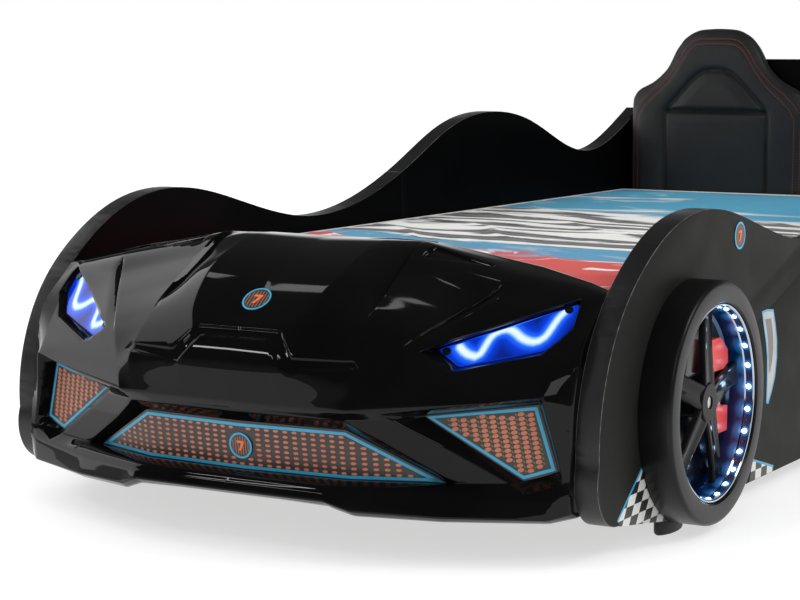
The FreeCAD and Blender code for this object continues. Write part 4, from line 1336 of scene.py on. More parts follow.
@dataclass
class Wheel:
    """A dummy wheel on the outer face of a side panel."""

    axle: str
    side: str
    sign: float
    tyre_radius: float = 177.0
    tyre_depth: float = 51.0
    rim_radius: float = 144.0
    lamps: int = 26
    first_lamp: float = 2.0
    lamp_x: float = 537.2
    SECTION = [(-1.0, -1.0), (-1.0, -0.32), (-0.9, -0.08), (-0.72, 0.0), (-0.4, -0.12), (0.0, -0.2),
               (0.4, -0.12), (0.72, 0.0), (0.9, -0.08), (1.0, -0.32), (1.0, -1.0), (0.0, -1.0)]

    def __post_init__(self) -> None:
        """Find the wheel's axis from its CAD tyre."""
        low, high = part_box(f"tyre_{self.axle}_{self.side}")
        self.centre = ((low.y + high.y) / 2 / MM - FRONT_EDGE / MM, (low.z + high.z) / 2 / MM)
        self.tag = f"{self.axle}_{self.side}"

    def build(self) -> None:
        """Make the tyre, barrel, spokes, lamps and caliper."""
        self._tyre()
        self._barrel()
        self._spokes()
        node = f"brake_caliper_{self.tag}"
        done(refined(node, node + "_cast", Paint.CALIPER, 2.4, 3), "base", "caliper_red", node)
        self._lamps()

    def _tyre(self) -> None:
        """The plain tyre with its rounded shoulders."""
        outer, inner = self.tyre_radius, self.rim_radius + 0.5
        front, back = OUTER_FACE + self.tyre_depth, OUTER_FACE
        profile = [(inner, back), (outer - 3, back), (outer - 0.8, back + 0.8), (outer, back + 3)]
        for k in range(7):
            angle = math.radians(90 * k / 6)
            profile.append((outer - 7 + 7 * math.cos(angle), front - 7.6 + 7 * math.sin(angle)))
        profile += [(outer - 16, front - 0.2), (inner + 8, front), (inner + 2.5, front - 0.6),
                    (inner, front - 3)]
        node = f"tyre_{self.tag}"
        done(lathe(node + "_band", profile, self.centre, self.sign, Paint.TYRE, 160), "base",
             "tyre_plastic", node)

    def _barrel(self) -> None:
        """The bright cup that the lamps shine into, with painted lamp light glowing on its inner wall."""
        outer = self.rim_radius
        profile = [(12.0, 498.3), (outer - 0.3, 498.3), (outer - 0.3, 543.5), (outer - 1.2, 545.0),
                   (outer - 3, 544.6),
                   (outer - 4.2, 543), (outer - 4.4, 533), (outer - 6, 531),
                   (outer - 7, 520), (outer - 9, 508),
                   (outer - 13, 504.2), (100, 503.4), (34, 503.4), (12.0, 503.4)]
        node = f"rim_barrel_{self.tag}"
        made = lathe(node + "_cup", profile, self.centre, self.sign, Paint.CHROME, 208,
                     first=math.radians(self.first_lamp))
        for paint in (Paint.RIM_FLOOR, Paint.CUP):
            made.data.materials.append(paint.stuff())
        middle = Vector((0.0, self.centre[0] * MM + FRONT_EDGE, self.centre[1] * MM))
        for face in made.data.polygons:
            reach = math.hypot(face.center.y - middle.y, face.center.z - middle.z) / MM
            inward = abs(face.center.x) / MM < 532 and abs(face.normal.x) < 0.9 and reach < 140.2
            face.material_index = 1 if reach < 131 and not inward else 2 if inward else 0
        # Painted light: glow on the cup's inner wall near each lamp.
        self._paint_lamp_light(made, 20.0)
        done(made, "base", "rim_chrome", node)

    def _paint_lamp_light(self, made: bpy.types.Object, reach: float) -> None:
        """Paint lamp light on a ring: the glow attribute marks how near each point is to a lamp."""
        middle = put([(self.sign * self.lamp_x, *self.centre)])
        spots = places(made) - middle
        turn = np.degrees(np.arctan2(spots[:, 2], spots[:, 1])) - self.first_lamp
        pitch = 360.0 / self.lamps
        off = np.abs((turn + pitch / 2) % pitch - pitch / 2)
        radius = np.hypot(spots[:, 1], spots[:, 2]) / MM
        near = np.hypot(np.radians(off) * radius, spots[:, 0] / MM)
        near = np.hypot(near, np.maximum(0.0, 136.0 - radius))
        mark(made, "glow", np.exp(-(near / reach) ** 1.5))

    def _lamps(self) -> None:
        """The dark tape round the cup's mouth with its small white lamps, and painted halos of their light on
        the tape.
        """
        node = f"led_ring_{self.tag}"
        profile = [(139.7, 533.6), (139.7, 543.4), (139.0, 543.4), (139.0, 541.0), (139.0, 538.5),
                   (139.0, 536.0),
                   (139.0, 533.6)]
        tape = lathe(node + "_tape", profile, self.centre, self.sign, Paint.TAPE, 208,
                     first=math.radians(self.first_lamp))
        # Painted light: halos on the tape round each lamp.
        self._paint_lamp_light(tape, 10.0)
        done(tape, "base", "light_white", node)
        middle = np.array([self.sign * self.lamp_x, *self.centre])
        for label, item, size, paint, sides, radius, shift in (
                ("lamps", Item.BEAD, (7.8, 7.8, 3.8), Paint.LED, 12, 138.6, 0.0),
                ("cases", Item.BLOCK, (6.6, 6.6, 1.2), Paint.WHITE, 12, 138.8, 0.0),
                ("contacts", Item.BLOCK, (2.6, 1.2, 0.4), Paint.STEEL, 4, 138.9, 0.5)):
            turn = np.radians(self.first_lamp + (np.arange(self.lamps) + shift) * 360.0 / self.lamps)
            out = np.column_stack([np.zeros(self.lamps), np.cos(turn), np.sin(turn)])
            along = np.cross(out, np.array([1.0, 0.0, 0.0]))
            made = Repeat(item, size, paint, sides).build(f"{node}_{label}", put(middle + out * radius),
                                                          -out, along)
            done(made, "base", "light_white")

    def _spokes(self) -> None:
        """Five curved blades on a round hub."""
        points: list[Point3] = []
        faces: list[tuple[int, ...]] = []
        for k in range(5):
            first = len(points)
            points += self._blade(math.radians(83 + 72 * k))
            count = len(self.SECTION)
            faces += ring_faces((len(points) - first) // count, count, first=first)
        made = outwards(make_mesh(f"spoke_disc_{self.tag}_blades", put(points), faces, paints=[Paint.SPOKE]))
        hub = lathe("hub", [(0.5, 503.6), (24, 503.6), (25, 520), (28.5, 525), (29.6, 529.5), (29, 531.8),
                            (27, 532.8), (9.8, 533), (9.0, 532.4), (8.6, 528.2), (8.2, 527.4), (0.5, 527.4)],
                    self.centre, self.sign, Paint.SPOKE, 64)
        merge(made, hub)
        done(made, "base", "spoke_gloss_black", f"spoke_disc_{self.tag}")

    def _blade(self, turn: float) -> list[Point3]:
        """Rings of points round one blade, from the hub outwards.

        Args:
            turn: the blade's direction from +Y towards +Z.

        Returns:
            The points, ring by ring.
        """
        stations = 22
        points = []
        for t in np.arange(stations + 1) / stations:
            reach = 22 + 116 * t
            swing = turn + math.radians(-8.0) * t * t + math.radians(7.0) * t
            half = 19.0 * (1 - t) ** 1.1 + 15.0 * t + 5.0 * max(0.0, t - 0.8) / 0.2
            top = 532.0 - 3.0 * math.sin(math.pi * t) - 11.0 * t * t
            for across, up in self.SECTION:
                y = reach * math.cos(swing) - across * half * math.sin(swing)
                z = reach * math.sin(swing) + across * half * math.cos(swing)
                points.append((self.sign * (top + up * 9.0), self.centre[0] + y, self.centre[1] + z))
        return points


def merge(first: bpy.types.Object, *others: bpy.types.Object) -> bpy.types.Object:
    """Put other meshes into the first one, each with its own materials.

    Args:
        first: the piece that stays.
        others: pieces that are taken in and removed.

    Returns:
        The first piece.
    """
    grid = bmesh.new()
    grid.from_mesh(first.data)
    for other in others:
        shift = {}
        for i, stuff in enumerate(other.data.materials):
            names = [m.name for m in first.data.materials]
            if stuff.name not in names:
                first.data.materials.append(stuff)
                names.append(stuff.name)
            shift[i] = names.index(stuff.name)
        before = len(grid.faces)
        grid.from_mesh(other.data)
        grid.faces.ensure_lookup_table()
        for face in grid.faces[before:]:
            face.material_index = shift.get(face.material_index, 0)
        mesh = other.data
        bpy.data.objects.remove(other)
        bpy.data.meshes.remove(mesh)
    grid.to_mesh(first.data)
    grid.free()
    shade(first.data)
    return first


# ---------------------------------------------------------------- repeats


class Item(Enum):
    """The small shape that a repeat sets at each of its points."""

    BEAD = "GeometryNodeMeshUVSphere"
    DISC = "GeometryNodeMeshCylinder"
    BLOCK = "GeometryNodeMeshCube"


@dataclass
class Repeat:
    """Sets one small shape at many points with Geometry Nodes."""

    item: Item
    size: Point3
    paint: Paint
    sides: int = 10

    def tree(self) -> bpy.types.NodeTree:
        """Build the tree: points in, realised shapes with their material out."""
        group = bpy.data.node_groups.new(f"repeat_{self.item.name.lower()}", "GeometryNodeTree")
        for label, way, kind in (("Geometry", "INPUT", "NodeSocketGeometry"),
                                 ("Size", "INPUT", "NodeSocketVector"),
                                 ("Finish", "INPUT", "NodeSocketMaterial"),
                                 ("Geometry", "OUTPUT", "NodeSocketGeometry")):
            group.interface.new_socket(label, in_out=way, socket_type=kind)
        tree = Tree(group)
        source = tree.add("NodeGroupInput").outputs
        if self.item is Item.BEAD:
            shape = tree.add(self.item.value, {"Segments": self.sides, "Rings": max(4, self.sides // 2),
                                               "Radius": 0.5}).outputs[0]
        elif self.item is Item.DISC:
            shape = tree.add(
                self.item.value, {"Vertices": self.sides, "Radius": 0.5, "Depth": 1.0}).outputs[0]
        else:
            shape = tree.add(self.item.value, {"Size": (1.0, 1.0, 1.0)}).outputs[0]
        turn = None
        for name, axis, pivot in (("facing", "Z", "AUTO"), ("along", "X", "Z")):
            aim = tree.add("GeometryNodeInputNamedAttribute", {"Name": name},
                           data_type="FLOAT_VECTOR").outputs[0]
            node = tree.add("FunctionNodeAlignRotationToVector", {"Vector": aim}, axis=axis, pivot_axis=pivot)
            if turn is not None:
                tree.feed(node.inputs["Rotation"], turn)
            turn = node.outputs[0]
        placed = tree.add("GeometryNodeInstanceOnPoints", {
            "Points": source["Geometry"], "Instance": shape, "Rotation": turn,
            "Scale": source["Size"]}).outputs[0]
        real = tree.add("GeometryNodeRealizeInstances", {"Geometry": placed}).outputs[0]
        dressed = tree.add(
            "GeometryNodeSetMaterial", {"Geometry": real, "Material": source["Finish"]}).outputs[0]
        tree.add("NodeGroupOutput", {"Geometry": dressed})
        return group

    def build(self, name: str, points: np.ndarray, facing: np.ndarray, along: np.ndarray) -> bpy.types.Object:
        """Make the piece.

        Args:
            name: the piece's name.
            points: where each shape goes, in row metres.
            facing: the way each shape's top looks.
            along: the way each shape's length runs.

        Returns:
            The piece, as plain mesh.
        """
        made = make_mesh(name, points, [], smooth=False)
        mark(made, "facing", facing)
        mark(made, "along", along)
        tree = self.tree()
        run = made.modifiers.new("repeat", "NODES")
        run.node_group = tree
        names = {s.name: s.identifier for s in tree.interface.items_tree if s.in_out == "INPUT"}
        run[names["Size"]] = tuple(v * MM for v in self.size)
        run[names["Finish"]] = self.paint.stuff()
        bake(made)
        bpy.data.node_groups.remove(tree)
        shade(made.data, math.radians(40))
        return made


# ---------------------------------------------------------------- lamps, grilles and prints


@dataclass(frozen=True)
class Sheet2:
    """A flat or bent ground that thin prints are laid on, by its own two directions."""

    origin: np.ndarray
    right: np.ndarray
    up: np.ndarray

    @property
    def out(self) -> np.ndarray:
        """The way the ground faces."""
        normal = np.cross(self.right, self.up)
        return normal / np.linalg.norm(normal)

    def at(self, flat: Sequence[Point2] | np.ndarray, lift: float) -> np.ndarray:
        """Drawing millimetres of flat points, lifted off the ground."""
        spots = np.asarray(flat, float).reshape(-1, 2)
        return self.origin + spots[:, :1] * self.right + spots[:, 1:] * self.up + self.out * lift


def slab(flat: Sequence[Point2], ground: Sheet2, lift: float, thick: float) -> tuple[np.ndarray, list]:
    """Points and faces of a thin plate of any outline.

    Args:
        flat: the outline on its ground.
        ground: where the plate lies.
        lift: how far its face stands off the ground.
        thick: its thickness.

    Returns:
        Points and faces.
    """
    count = len(flat)
    points = np.concatenate([ground.at(flat, lift), ground.at(flat, lift - thick)])
    order = list(range(count)) if area_of(flat) > 0 else list(range(count))[::-1]
    faces = [tuple(order), tuple(i + count for i in order[::-1])]
    faces += [(order[k], order[k] + count, order[(k + 1) % count] + count, order[(k + 1) % count])
              for k in range(count)]
    return points, [f[::-1] if i > 1 else f for i, f in enumerate(faces)]


def band(outer: Sequence[Point2], inner: Sequence[Point2], ground: Sheet2, lift: float,
         thick: float) -> tuple[np.ndarray, list]:
    """Points and faces of a thin closed ring between two outlines of as many points.

    Args:
        outer: outer outline.
        inner: inner outline.
        ground: where the ring lies.
        lift: how far its face stands off the ground.
        thick: its thickness.

    Returns:
        Points and faces.
    """
    count = len(outer)
    points = np.concatenate([ground.at(outer, lift), ground.at(inner, lift), ground.at(inner, lift - thick),
                             ground.at(outer, lift - thick)])
    faces = ring_faces(4, count, True)
    return points, faces if area_of(outer) > 0 else [f[::-1] for f in faces]


@dataclass
class PrintStack:
    """Thin coloured plates gathered into one piece."""

    name: str
    points: list = field(default_factory=list)
    faces: list = field(default_factory=list)
    picks: list = field(default_factory=list)
    paints: list = field(default_factory=list)

    def lay(self, part: tuple[np.ndarray, list], paint: Paint) -> None:
        """Add one plate or ring."""
        first = len(self.points)
        self.points.extend(part[0])
        self.faces.extend(tuple(i + first for i in f) for f in part[1])
        if paint not in self.paints:
            self.paints.append(paint)
        self.picks.extend([self.paints.index(paint)] * len(part[1]))

    def build(self) -> bpy.types.Object:
        """Make the piece."""
        return make_mesh(self.name, put(self.points), self.faces, paints=self.paints, picks=self.picks)


@dataclass
class Roundel:
    """A plain round number plate: dark field with fine bars, a cyan ring and one numeral."""

    radius: float = 20.0
    ring: float = 3.2
    NUMERAL = [(-0.42, 0.52), (0.46, 0.52), (0.46, 0.3), (0.02, -0.56), (-0.26, -0.56), (0.14, 0.28),
               (-0.42, 0.28)]

    def lay(self, stack: PrintStack, ground: Sheet2) -> None:
        """Add the plate to a stack, centred on its ground."""
        turn = [math.tau * k / 48 for k in range(48)]
        rim = [(self.radius * math.cos(a), self.radius * math.sin(a)) for a in turn]
        stack.lay(slab(rim, ground, 0.7, 1.4), Paint.PRINT_GROUND)
        stack.lay(band(rim, grown(rim, -self.ring), ground, 1.1, 0.7), Paint.CYAN)
        inner = self.radius - self.ring - 1.0
        for k in range(-3, 4):
            x = k * inner / 3.6
            tall = math.sqrt(max(0.0, inner ** 2 - x ** 2)) * 0.92
            bar = [(x - 0.5, -tall), (x + 0.5, -tall), (x + 0.5, tall), (x - 0.5, tall)]
            stack.lay(slab(bar, ground, 0.85, 0.4), Paint.SALMON)
        size = self.radius * 0.72
        stack.lay(slab([(x * size, y * size) for x, y in self.NUMERAL], ground, 1.25, 0.7), Paint.ORANGE)


@dataclass
class Headlight:
    """A lit blue lens with its wavy white line, sunk in the shell, over its tray."""

    side: str
    sign: float
    shell: FrontShell
    thick: float = 2.6
    WAVE = [(300.6, 294), (308, 288.5), (316, 284.6), (325.8, 282.5), (330.5, 286), (332, 290.7),
            (333, 296.5),
            (334, 301.7), (336, 307), (339.5, 311.8), (346.5, 315.8), (353.5, 316.9),
            (359.5, 315.3), (366, 311.9),
            (372, 308), (379, 304.7), (386, 302.6), (393, 302), (399, 304), (403.5, 308),
            (406, 313), (407.8, 319),
            (409.5, 325), (411.5, 331), (414, 336), (416.6, 339.7)]

    def build(self) -> None:
        """Make the lens, its tray and its lamp bar."""
        plane = front_plane(f"headlight_lens_{self.side}").sunk(self.shell.lens_sunk)
        outline = round_off(grown([(self.sign * x, z) for x, z in FrontShell.LENS], -1.2), 5.0)
        ring = np.array(outline)
        low, high = ring.min(0), ring.max(0)
        step = 2.4
        grid = np.array(np.meshgrid(np.arange(low[0], high[0], step), np.arange(low[1], high[1], step)))
        spots = grid.reshape(2, -1).T
        spots = spots[distance_to(spots, outline) > step * 0.6]
        flat, faces = triangulate(spots, [np.array(outline + [outline[0]])], 1)
        top = np.column_stack([flat[:, 0], plane.y(flat[:, 0], flat[:, 1]), flat[:, 1]])
        back = top - plane.normal * self.thick
        count = len(top)
        border = self._border(flat, outline)
        a, b, c = (top[i] for i in faces[0][:3])
        if np.dot(np.cross(b - a, c - a), plane.normal) < 0:
            faces = [f[::-1] for f in faces]
        skins = list(faces) + [tuple(i + count for i in f[::-1]) for f in faces]
        walls = [(border[k - 1], border[k], border[k] + count, border[k - 1] + count)
                 for k in range(len(border))]
        made = make_mesh(f"headlight_lens_{self.side}_glass", put(np.concatenate([top, back])), skins + walls,
                         paints=[Paint.LENS])
        outwards(made)
        wave = np.array([(self.sign * x, z) for x, z in self.WAVE])
        near = from_line(places(made)[:, ::2] / MM, wave)
        glow = np.interp(near, [0, 2.6, 4.3, 7.2, 12, 22, 44], [1.0, 0.99, 0.87, 0.7, 0.5, 0.26, 0.05])
        mark(made, "glow", glow)
        shade(made.data, math.radians(35))
        done(made, "base", "lens_clear", f"headlight_lens_{self.side}")
        for node, paint, slot in ((f"headlight_housing_{self.side}", Paint.HOUSING, "light_blue"),
                                  (f"headlight_bar_{self.side}", Paint.LED, "light_white")):
            tray = refined(node, node + "_moulded", paint, 0.5, 1)
            tray.data.transform(Matrix.Translation(Vector(-plane.normal * self.shell.lens_sunk * MM)))
            done(tray, "base", slot, node)

    @staticmethod
    def _border(flat: np.ndarray, outline: Sequence[Point2]) -> list[int]:
        """Numbers of the points that lie on the outline, in its order."""
        return [int(np.argmin(np.hypot(flat[:, 0] - x, flat[:, 1] - z))) for x, z in outline]


@dataclass
class Grilles:
    """The printed plates in the nose: ground, cyan border, rows of dots and the roundel."""

    border: float = 4.4
    inset: float = 1.6

    def build(self) -> None:
        """Make the three plates and the prints on them."""
        self._centre()
        for side, sign in SIDES:
            self._side(side, sign)

    def _centre(self) -> None:
        """The middle plate, which bends in two places."""
        done(refined("centre_grille", "centre_grille_plate", Paint.PRINT_GROUND, 0.5), "base", "grille_print",
             "centre_grille")
        stack = PrintStack("centre_grille_border")
        outline = split([(-294, 109), (294, 109), (168, 178), (-168, 178)], 14, lambda a, b: abs(b[0] - a[0]))
        outer, inner = grown(outline, -self.inset), grown(outline, -self.inset - self.border)
        part = band(outer, inner, Sheet2(np.zeros(3), np.array([1.0, 0, 0]), np.array([0, 0, 1.0])), 0.5, 0.8)
        points = part[0]
        points[:, 1] += FrontShell.mouth_y(points[:, 0], points[:, 2])
        stack.lay((points, part[1]), Paint.CYAN)
        done(stack.build(), "base", "grille_print")
        spots = []
        for row in range(8):
            z = 117.5 + row * 7.4
            for k in range(-19, 20):
                x = k * 14.6
                room = 294 - (z - 109) / 69 * 126 - 17
                if abs(x) < room and math.hypot(x, z - 146) > 25:
                    spots.append((x, z))
        flat = np.array(spots)
        points = np.column_stack([flat[:, 0], FrontShell.mouth_y(flat[:, 0], flat[:, 1]) - 0.3, flat[:, 1]])
        lean = np.where(np.abs(flat[:, 0]) < 168, 0.0714, 0.38) * np.sign(flat[:, 0])
        facing = np.column_stack([lean, -np.ones(len(flat)), -0.148 * np.ones(len(flat))])
        along = np.column_stack([np.ones(len(flat)), lean, np.zeros(len(flat))])
        dots = Repeat(Item.DISC, (8.6, 4.2, 0.8), Paint.SALMON, 8)
        done(dots.build("centre_grille_dots", put(points), facing, along), "base", "grille_print")
        plate = PrintStack("centre_grille_roundel")
        up = np.array([0.0, -0.148, 1.0])
        Roundel(19.0, 3.0).lay(plate, Sheet2(
            np.array([0.0, FrontShell.mouth_y(np.array([0.0]), np.array([144.0]))[0], 144.0]),
            np.array([1.0, 0, 0]), up / np.linalg.norm(up)))
        done(plate.build(), "base", "grille_print")

    def _side(self, side: str, sign: float) -> None:
        """One corner plate with slanting strings of dots."""
        node = f"side_grille_{side}"
        done(refined(node, node + "_plate", Paint.PRINT_GROUND, 0.5), "base", "grille_print", node)
        plane = front_plane(node)
        outline = [(sign * x, z) for x, z in FrontShell.SIDE_PLATE]
        if sign < 0:
            outline = outline[::-1]
        outer, inner = grown(outline, -self.inset), grown(outline, -self.inset - self.border)
        flat_ground = Sheet2(np.zeros(3), np.array([1.0, 0, 0]), np.array([0, 0, 1.0]))
        points, faces = band(outer, inner, flat_ground, 0.5, 0.8)
        points[:, 1] += plane.y(points[:, 0], points[:, 2])
        stack = PrintStack(node + "_border")
        stack.lay((points, faces), Paint.CYAN)
        done(stack.build(), "base", "grille_print")
        for label, size, paint, shift in (("dots", (9.6, 6.0, 0.8), Paint.SALMON, 0.0),
                                          ("links", (4.6, 2.2, 0.7), Paint.LINK, 0.5)):
            spots = []
            for column in range(16):
                for row in range(22):
                    x = 262 + (column + shift) * 12.6 + row * 1.1
                    z = 224 - (row + 0.5 * shift) * 6.4 - column * 0.35
                    spots.append((sign * x, z))
            flat = np.array(spots)
            flat = flat[distance_to(flat, grown(outline, -self.inset - self.border - 3.4)) > 0]
            points = np.column_stack([flat[:, 0], plane.y(flat[:, 0], flat[:, 1]) - 0.3, flat[:, 1]])
            facing = np.tile(plane.normal, (len(flat), 1))
            way = np.array([sign, 0.0, 0.22 if label == "dots" else -0.9])
            way = way - plane.normal * float(way @ plane.normal)
            made = Repeat(Item.DISC, size, paint, 8).build(f"{node}_{label}", put(points), facing,
                                                           np.tile(way, (len(flat), 1)))
            done(made, "base", "grille_print")


@dataclass
class PanelPrints:
    """Flat prints on the outer faces: roundel, vent, chequers and cyan lines."""

    VENT = [(587, 289), (612, 290), (637, 287), (648, 262), (656, 236), (657, 208), (650, 178), (637, 156),
            (622, 138), (613, 141), (614, 178), (613, 215), (606, 240), (596, 264)]
    SLOT = [(602, 275), (628, 274), (636, 250), (639, 226), (636, 206), (629, 190), (622, 188),
            (618, 226), (612, 252)]
    TOE = [(140, 117), (60, 56), (66, 49), (228, 26), (232, 34)]
    SKIRT = [(546, 26), (560, 57), (650, 32), (652, 26)]
    cell: Point2 = (25.0, 15.0)
    lift: float = 0.35

    def build(self) -> None:
        """Make the prints of both sides."""
        for side, sign in SIDES:
            ground = Sheet2(np.array([sign * OUTER_FACE, 0.0, 0.0]), np.array([0, sign * 1.0, 0]),
                            np.array([0, 0, 1.0]))
            stack = PrintStack(f"panel_prints_{side}")
            self._vent(stack, ground, sign)
            self._chequer(stack, ground, sign, self.TOE, 0.62, 0)
            self._chequer(stack, ground, sign, self.SKIRT, 0.1, 1)
            spot = Sheet2(np.array([sign * OUTER_FACE, 488.0, 415.0]), ground.right, ground.up)
            Roundel(21.0, 3.4).lay(stack, spot)
            done(stack.build(), "base", "panel_black")

    @staticmethod
    def _turned(points: Sequence[Point2], sign: float) -> list[Point2]:
        """Panel places as flat places on the ground of that side, anticlockwise."""
        flat = [(sign * y, z) for y, z in points]
        return flat if area_of(flat) > 0 else flat[::-1]

    def _vent(self, stack: PrintStack, ground: Sheet2, sign: float) -> None:
        """The curved vent print: cyan outline, pale band and dark slot."""
        ring = self._turned(self.VENT, sign)
        stack.lay(slab(grown(ring, -1.0), ground, self.lift, 0.5), Paint.PALE_EDGE)
        stack.lay(band(ring, grown(ring, -3.6), ground, self.lift + 0.15, 0.5), Paint.CYAN)
        stack.lay(slab(self._turned(self.SLOT, sign), ground, self.lift + 0.1, 0.4), Paint.GREY)

    def _chequer(self, stack: PrintStack, ground: Sheet2, sign: float, outline: Sequence[Point2], lean: float,
                 lined: int) -> None:
        """Chequers clipped to an outline, under a cyan line along one of its sides.

        Args:
            stack: the piece that takes the plates.
            ground: the panel's face.
            sign: the panel's side.
            outline: Y and Z of the patch's corners.
            lean: how far each row of squares leans back.
            lined: number of the corner that the cyan line starts from.
        """
        low, high = np.array(outline).min(0), np.array(outline).max(0)
        wide, tall = self.cell
        for i in range(-8, int((high[0] - low[0]) / wide) + 8):
            for j in range(int((high[1] - low[1]) / tall) + 2):
                y, z = low[0] + i * wide + j * tall * lean, low[1] + j * tall
                square = [(y, z), (y + wide, z), (y + wide + tall * lean, z + tall),
                          (y + tall * lean, z + tall)]
                piece = clip(square, outline)
                if len(piece) > 2:
                    paint = Paint.WHITE if (i + j) % 2 else Paint.INK
                    stack.lay(slab(self._turned(piece, sign), ground, self.lift, 0.6), paint)
        a, b = (np.array(outline[k], float) for k in (lined, lined + 1))
        away = np.array([b[1] - a[1], a[0] - b[0]])
        away *= 3.6 / np.linalg.norm(away) * np.sign(away @ (a - np.array(outline).mean(0)))
        strip = [tuple(a), tuple(b), tuple(b + away), tuple(a + away)]
        stack.lay(slab(self._turned(strip, sign), ground, self.lift + 0.05, 0.6), Paint.CYAN)


def clip(shape: Sequence[Point2], outline: Sequence[Point2]) -> list[Point2]:
    """The part of a convex shape inside a convex outline.

    Args:
        shape: the shape.
        outline: the outline that cuts it.

    Returns:
        The corners of what is left.
    """
    ring = list(outline) if area_of(outline) > 0 else list(outline)[::-1]
    out = list(shape)
    for a, b in zip(ring, ring[1:] + ring[:1]):
        before, out = out, []
        for p, q in zip(before, before[1:] + before[:1]):
            d_p = (b[0] - a[0]) * (p[1] - a[1]) - (b[1] - a[1]) * (p[0] - a[0])
            d_q = (b[0] - a[0]) * (q[1] - a[1]) - (b[1] - a[1]) * (q[0] - a[0])
            if d_p >= 0:
                out.append(p)
            if d_p * d_q < 0:
                t = d_p / (d_p - d_q)
                out.append((p[0] + (q[0] - p[0]) * t, p[1] + (q[1] - p[1]) * t))
        if len(out) < 3:
            return []
    return out


# ---------------------------------------------------------------- soft goods


@dataclass
class SeatPads:
    """Two racing-seat pads in imitation leather, swelled, seamed and stitched."""

    centre: float = 229.0
    face: float = 2171.0
    back: float = 2204.0
    low: float = 252.0
    voxel: float = 6.0
    swell_cap: float = 7.0
    SHOULDER = [(224, 262), (224, 552), (223, 575), (209, 597), (164, 620), (132, 649), (108, 696), (84, 725),
                (50, 743), (0, 746)]
    OUTER_LINE = [(206, 262), (207, 540), (192, 563), (166, 588), (140, 606), (119, 627), (100, 652),
                  (82, 682),
                  (68, 699), (52, 709), (36, 712), (0, 712)]
    INNER_LINE = [(193, 262), (194, 530), (182, 552), (162, 572), (136, 593), (117, 613), (98, 638),
                  (82, 665),
                  (66, 687), (48, 699), (30, 700.5), (0, 701)]
    INSERT = [(126, 262), (127, 528), (124, 545), (112, 560), (87, 587), (62, 614), (42, 631),
              (26, 638.5), (0, 641)]
    SEAM = 545.0

    def build(self) -> None:
        """Swell one pad, copy it to the other side, then seam and stitch both."""
        pad = self._foam()
        self._swell(pad)
        modifier(pad, "SUBSURF", levels=1, render_levels=1)
        bake(pad)
        self._seams(pad)
        for side, sign in SIDES:
            made = pad.copy() if side == "left" else pad
            made.data = pad.data.copy()
            made.name = f"seat_pad_{side}_cover"
            if side == "left":
                bpy.context.scene.collection.objects.link(made)
            made.data.transform(Matrix.Translation((sign * self.centre * MM, 0.0, 0.0)))
            done(made, "base", "black_leatherette", f"seat_pad_{side}")
            self._stitches(made, side, sign * self.centre)

    @staticmethod
    def whole(half: Sequence[Point2]) -> list[Point2]:
        """Both halves of an outline, from its right foot over the top to its left foot."""
        return list(half) + [(-x, z) for x, z in half[::-1] if x > 0]

    def _foam(self) -> bpy.types.Object:
        """The foam block: the pad's outline with a crowned front and a flat back."""
        outline = self.whole([(224, self.low)] + self.SHOULDER[1:])
        ring = round_off(outline, 14.0, 3)
        levels = ((self.face + 9, -2.0), (self.face + 3, -4.5), (self.face, -12.0), (self.face - 1.5, -40.0))
        rings = [(self.back, -3.0)] + list(levels)
        points: list = []
        for y, off in rings:
            points += [(x, y, z) for x, z in grown(ring, off)] if off > -30 else \
                [(x * 0.8, y, 470 + (z - 470) * 0.86) for x, z in ring]
        made = make_mesh("pad_foam", put(points), ring_faces(len(rings), len(ring)), paints=[Paint.LEATHER])
        outwards(made)
        modifier(made, "REMESH", mode="VOXEL", voxel_size=self.voxel * MM, use_smooth_shade=True)
        modifier(made, "SMOOTH", factor=0.5, iterations=6)
        return bake(made)

    def _swell(self, pad: bpy.types.Object) -> None:
        """Blow the cover up a little with cloth under pressure, no further than the cap."""
        scene = bpy.context.scene
        before = places(pad)
        cloth = pad.modifiers.new("cloth", "CLOTH")
        cloth.settings.use_pressure = True
        cloth.settings.uniform_pressure_force = 4.0
        cloth.settings.effector_weights.gravity = 0.0
        for step in range(1, 21):
            scene.frame_set(step)
        graph = bpy.context.evaluated_depsgraph_get()
        after = places(pad.evaluated_get(graph))
        pad.modifiers.clear()
        scene.frame_set(1)
        move = after - before
        length = np.linalg.norm(move, axis=1)
        place = before + move * (np.minimum(length, self.swell_cap * MM) / np.maximum(length, 1e-9))[:, None]
        place[:, 1] = np.minimum(place[:, 1], self.back * MM + FRONT_EDGE)
        move_to(pad, place)

    def _seams(self, pad: bpy.types.Object) -> None:
        """Press the seams in and puff the panels between them."""
        place = places(pad)
        flat = place[:, ::2] / MM
        z = flat[:, 1]
        front = ease((self.back - 12 - (place[:, 1] - FRONT_EDGE) / MM) / 14.0)
        insert = self.whole(self.INSERT)
        ring = insert + [(-126, 240), (126, 240)]
        inside = distance_to(flat, ring)
        seam = from_line(flat, insert)
        press = 8.0 * np.exp(-(seam / 5.5) ** 2)
        cross = np.abs(z - self.SEAM)
        below = 9.0 * np.exp(-(cross / 5.0) ** 2) * (inside > 0)
        upper = ease(inside / 34.0) * ease((z - self.SEAM) / 12.0)
        puff = 9.0 * upper * np.exp(-((z - self.SEAM - 16) / 62.0) ** 2) * (inside > 0)
        lower = 3.0 * ease(inside / 40.0) * ease((self.SEAM - z) / 30.0) * (inside > 0)
        border = np.where(inside < 0, 3.0 * ease(-inside / 26.0) * ease((90 + inside) / 60.0), 0.0)
        for line in (self.OUTER_LINE, self.INNER_LINE):
            border -= 1.3 * np.exp(-(from_line(flat, self.whole(line)) / 3.2) ** 2)
        place[:, 1] += (press + below - puff - lower - border) * front * MM
        move_to(pad, place)
        shade(pad.data, math.radians(60))

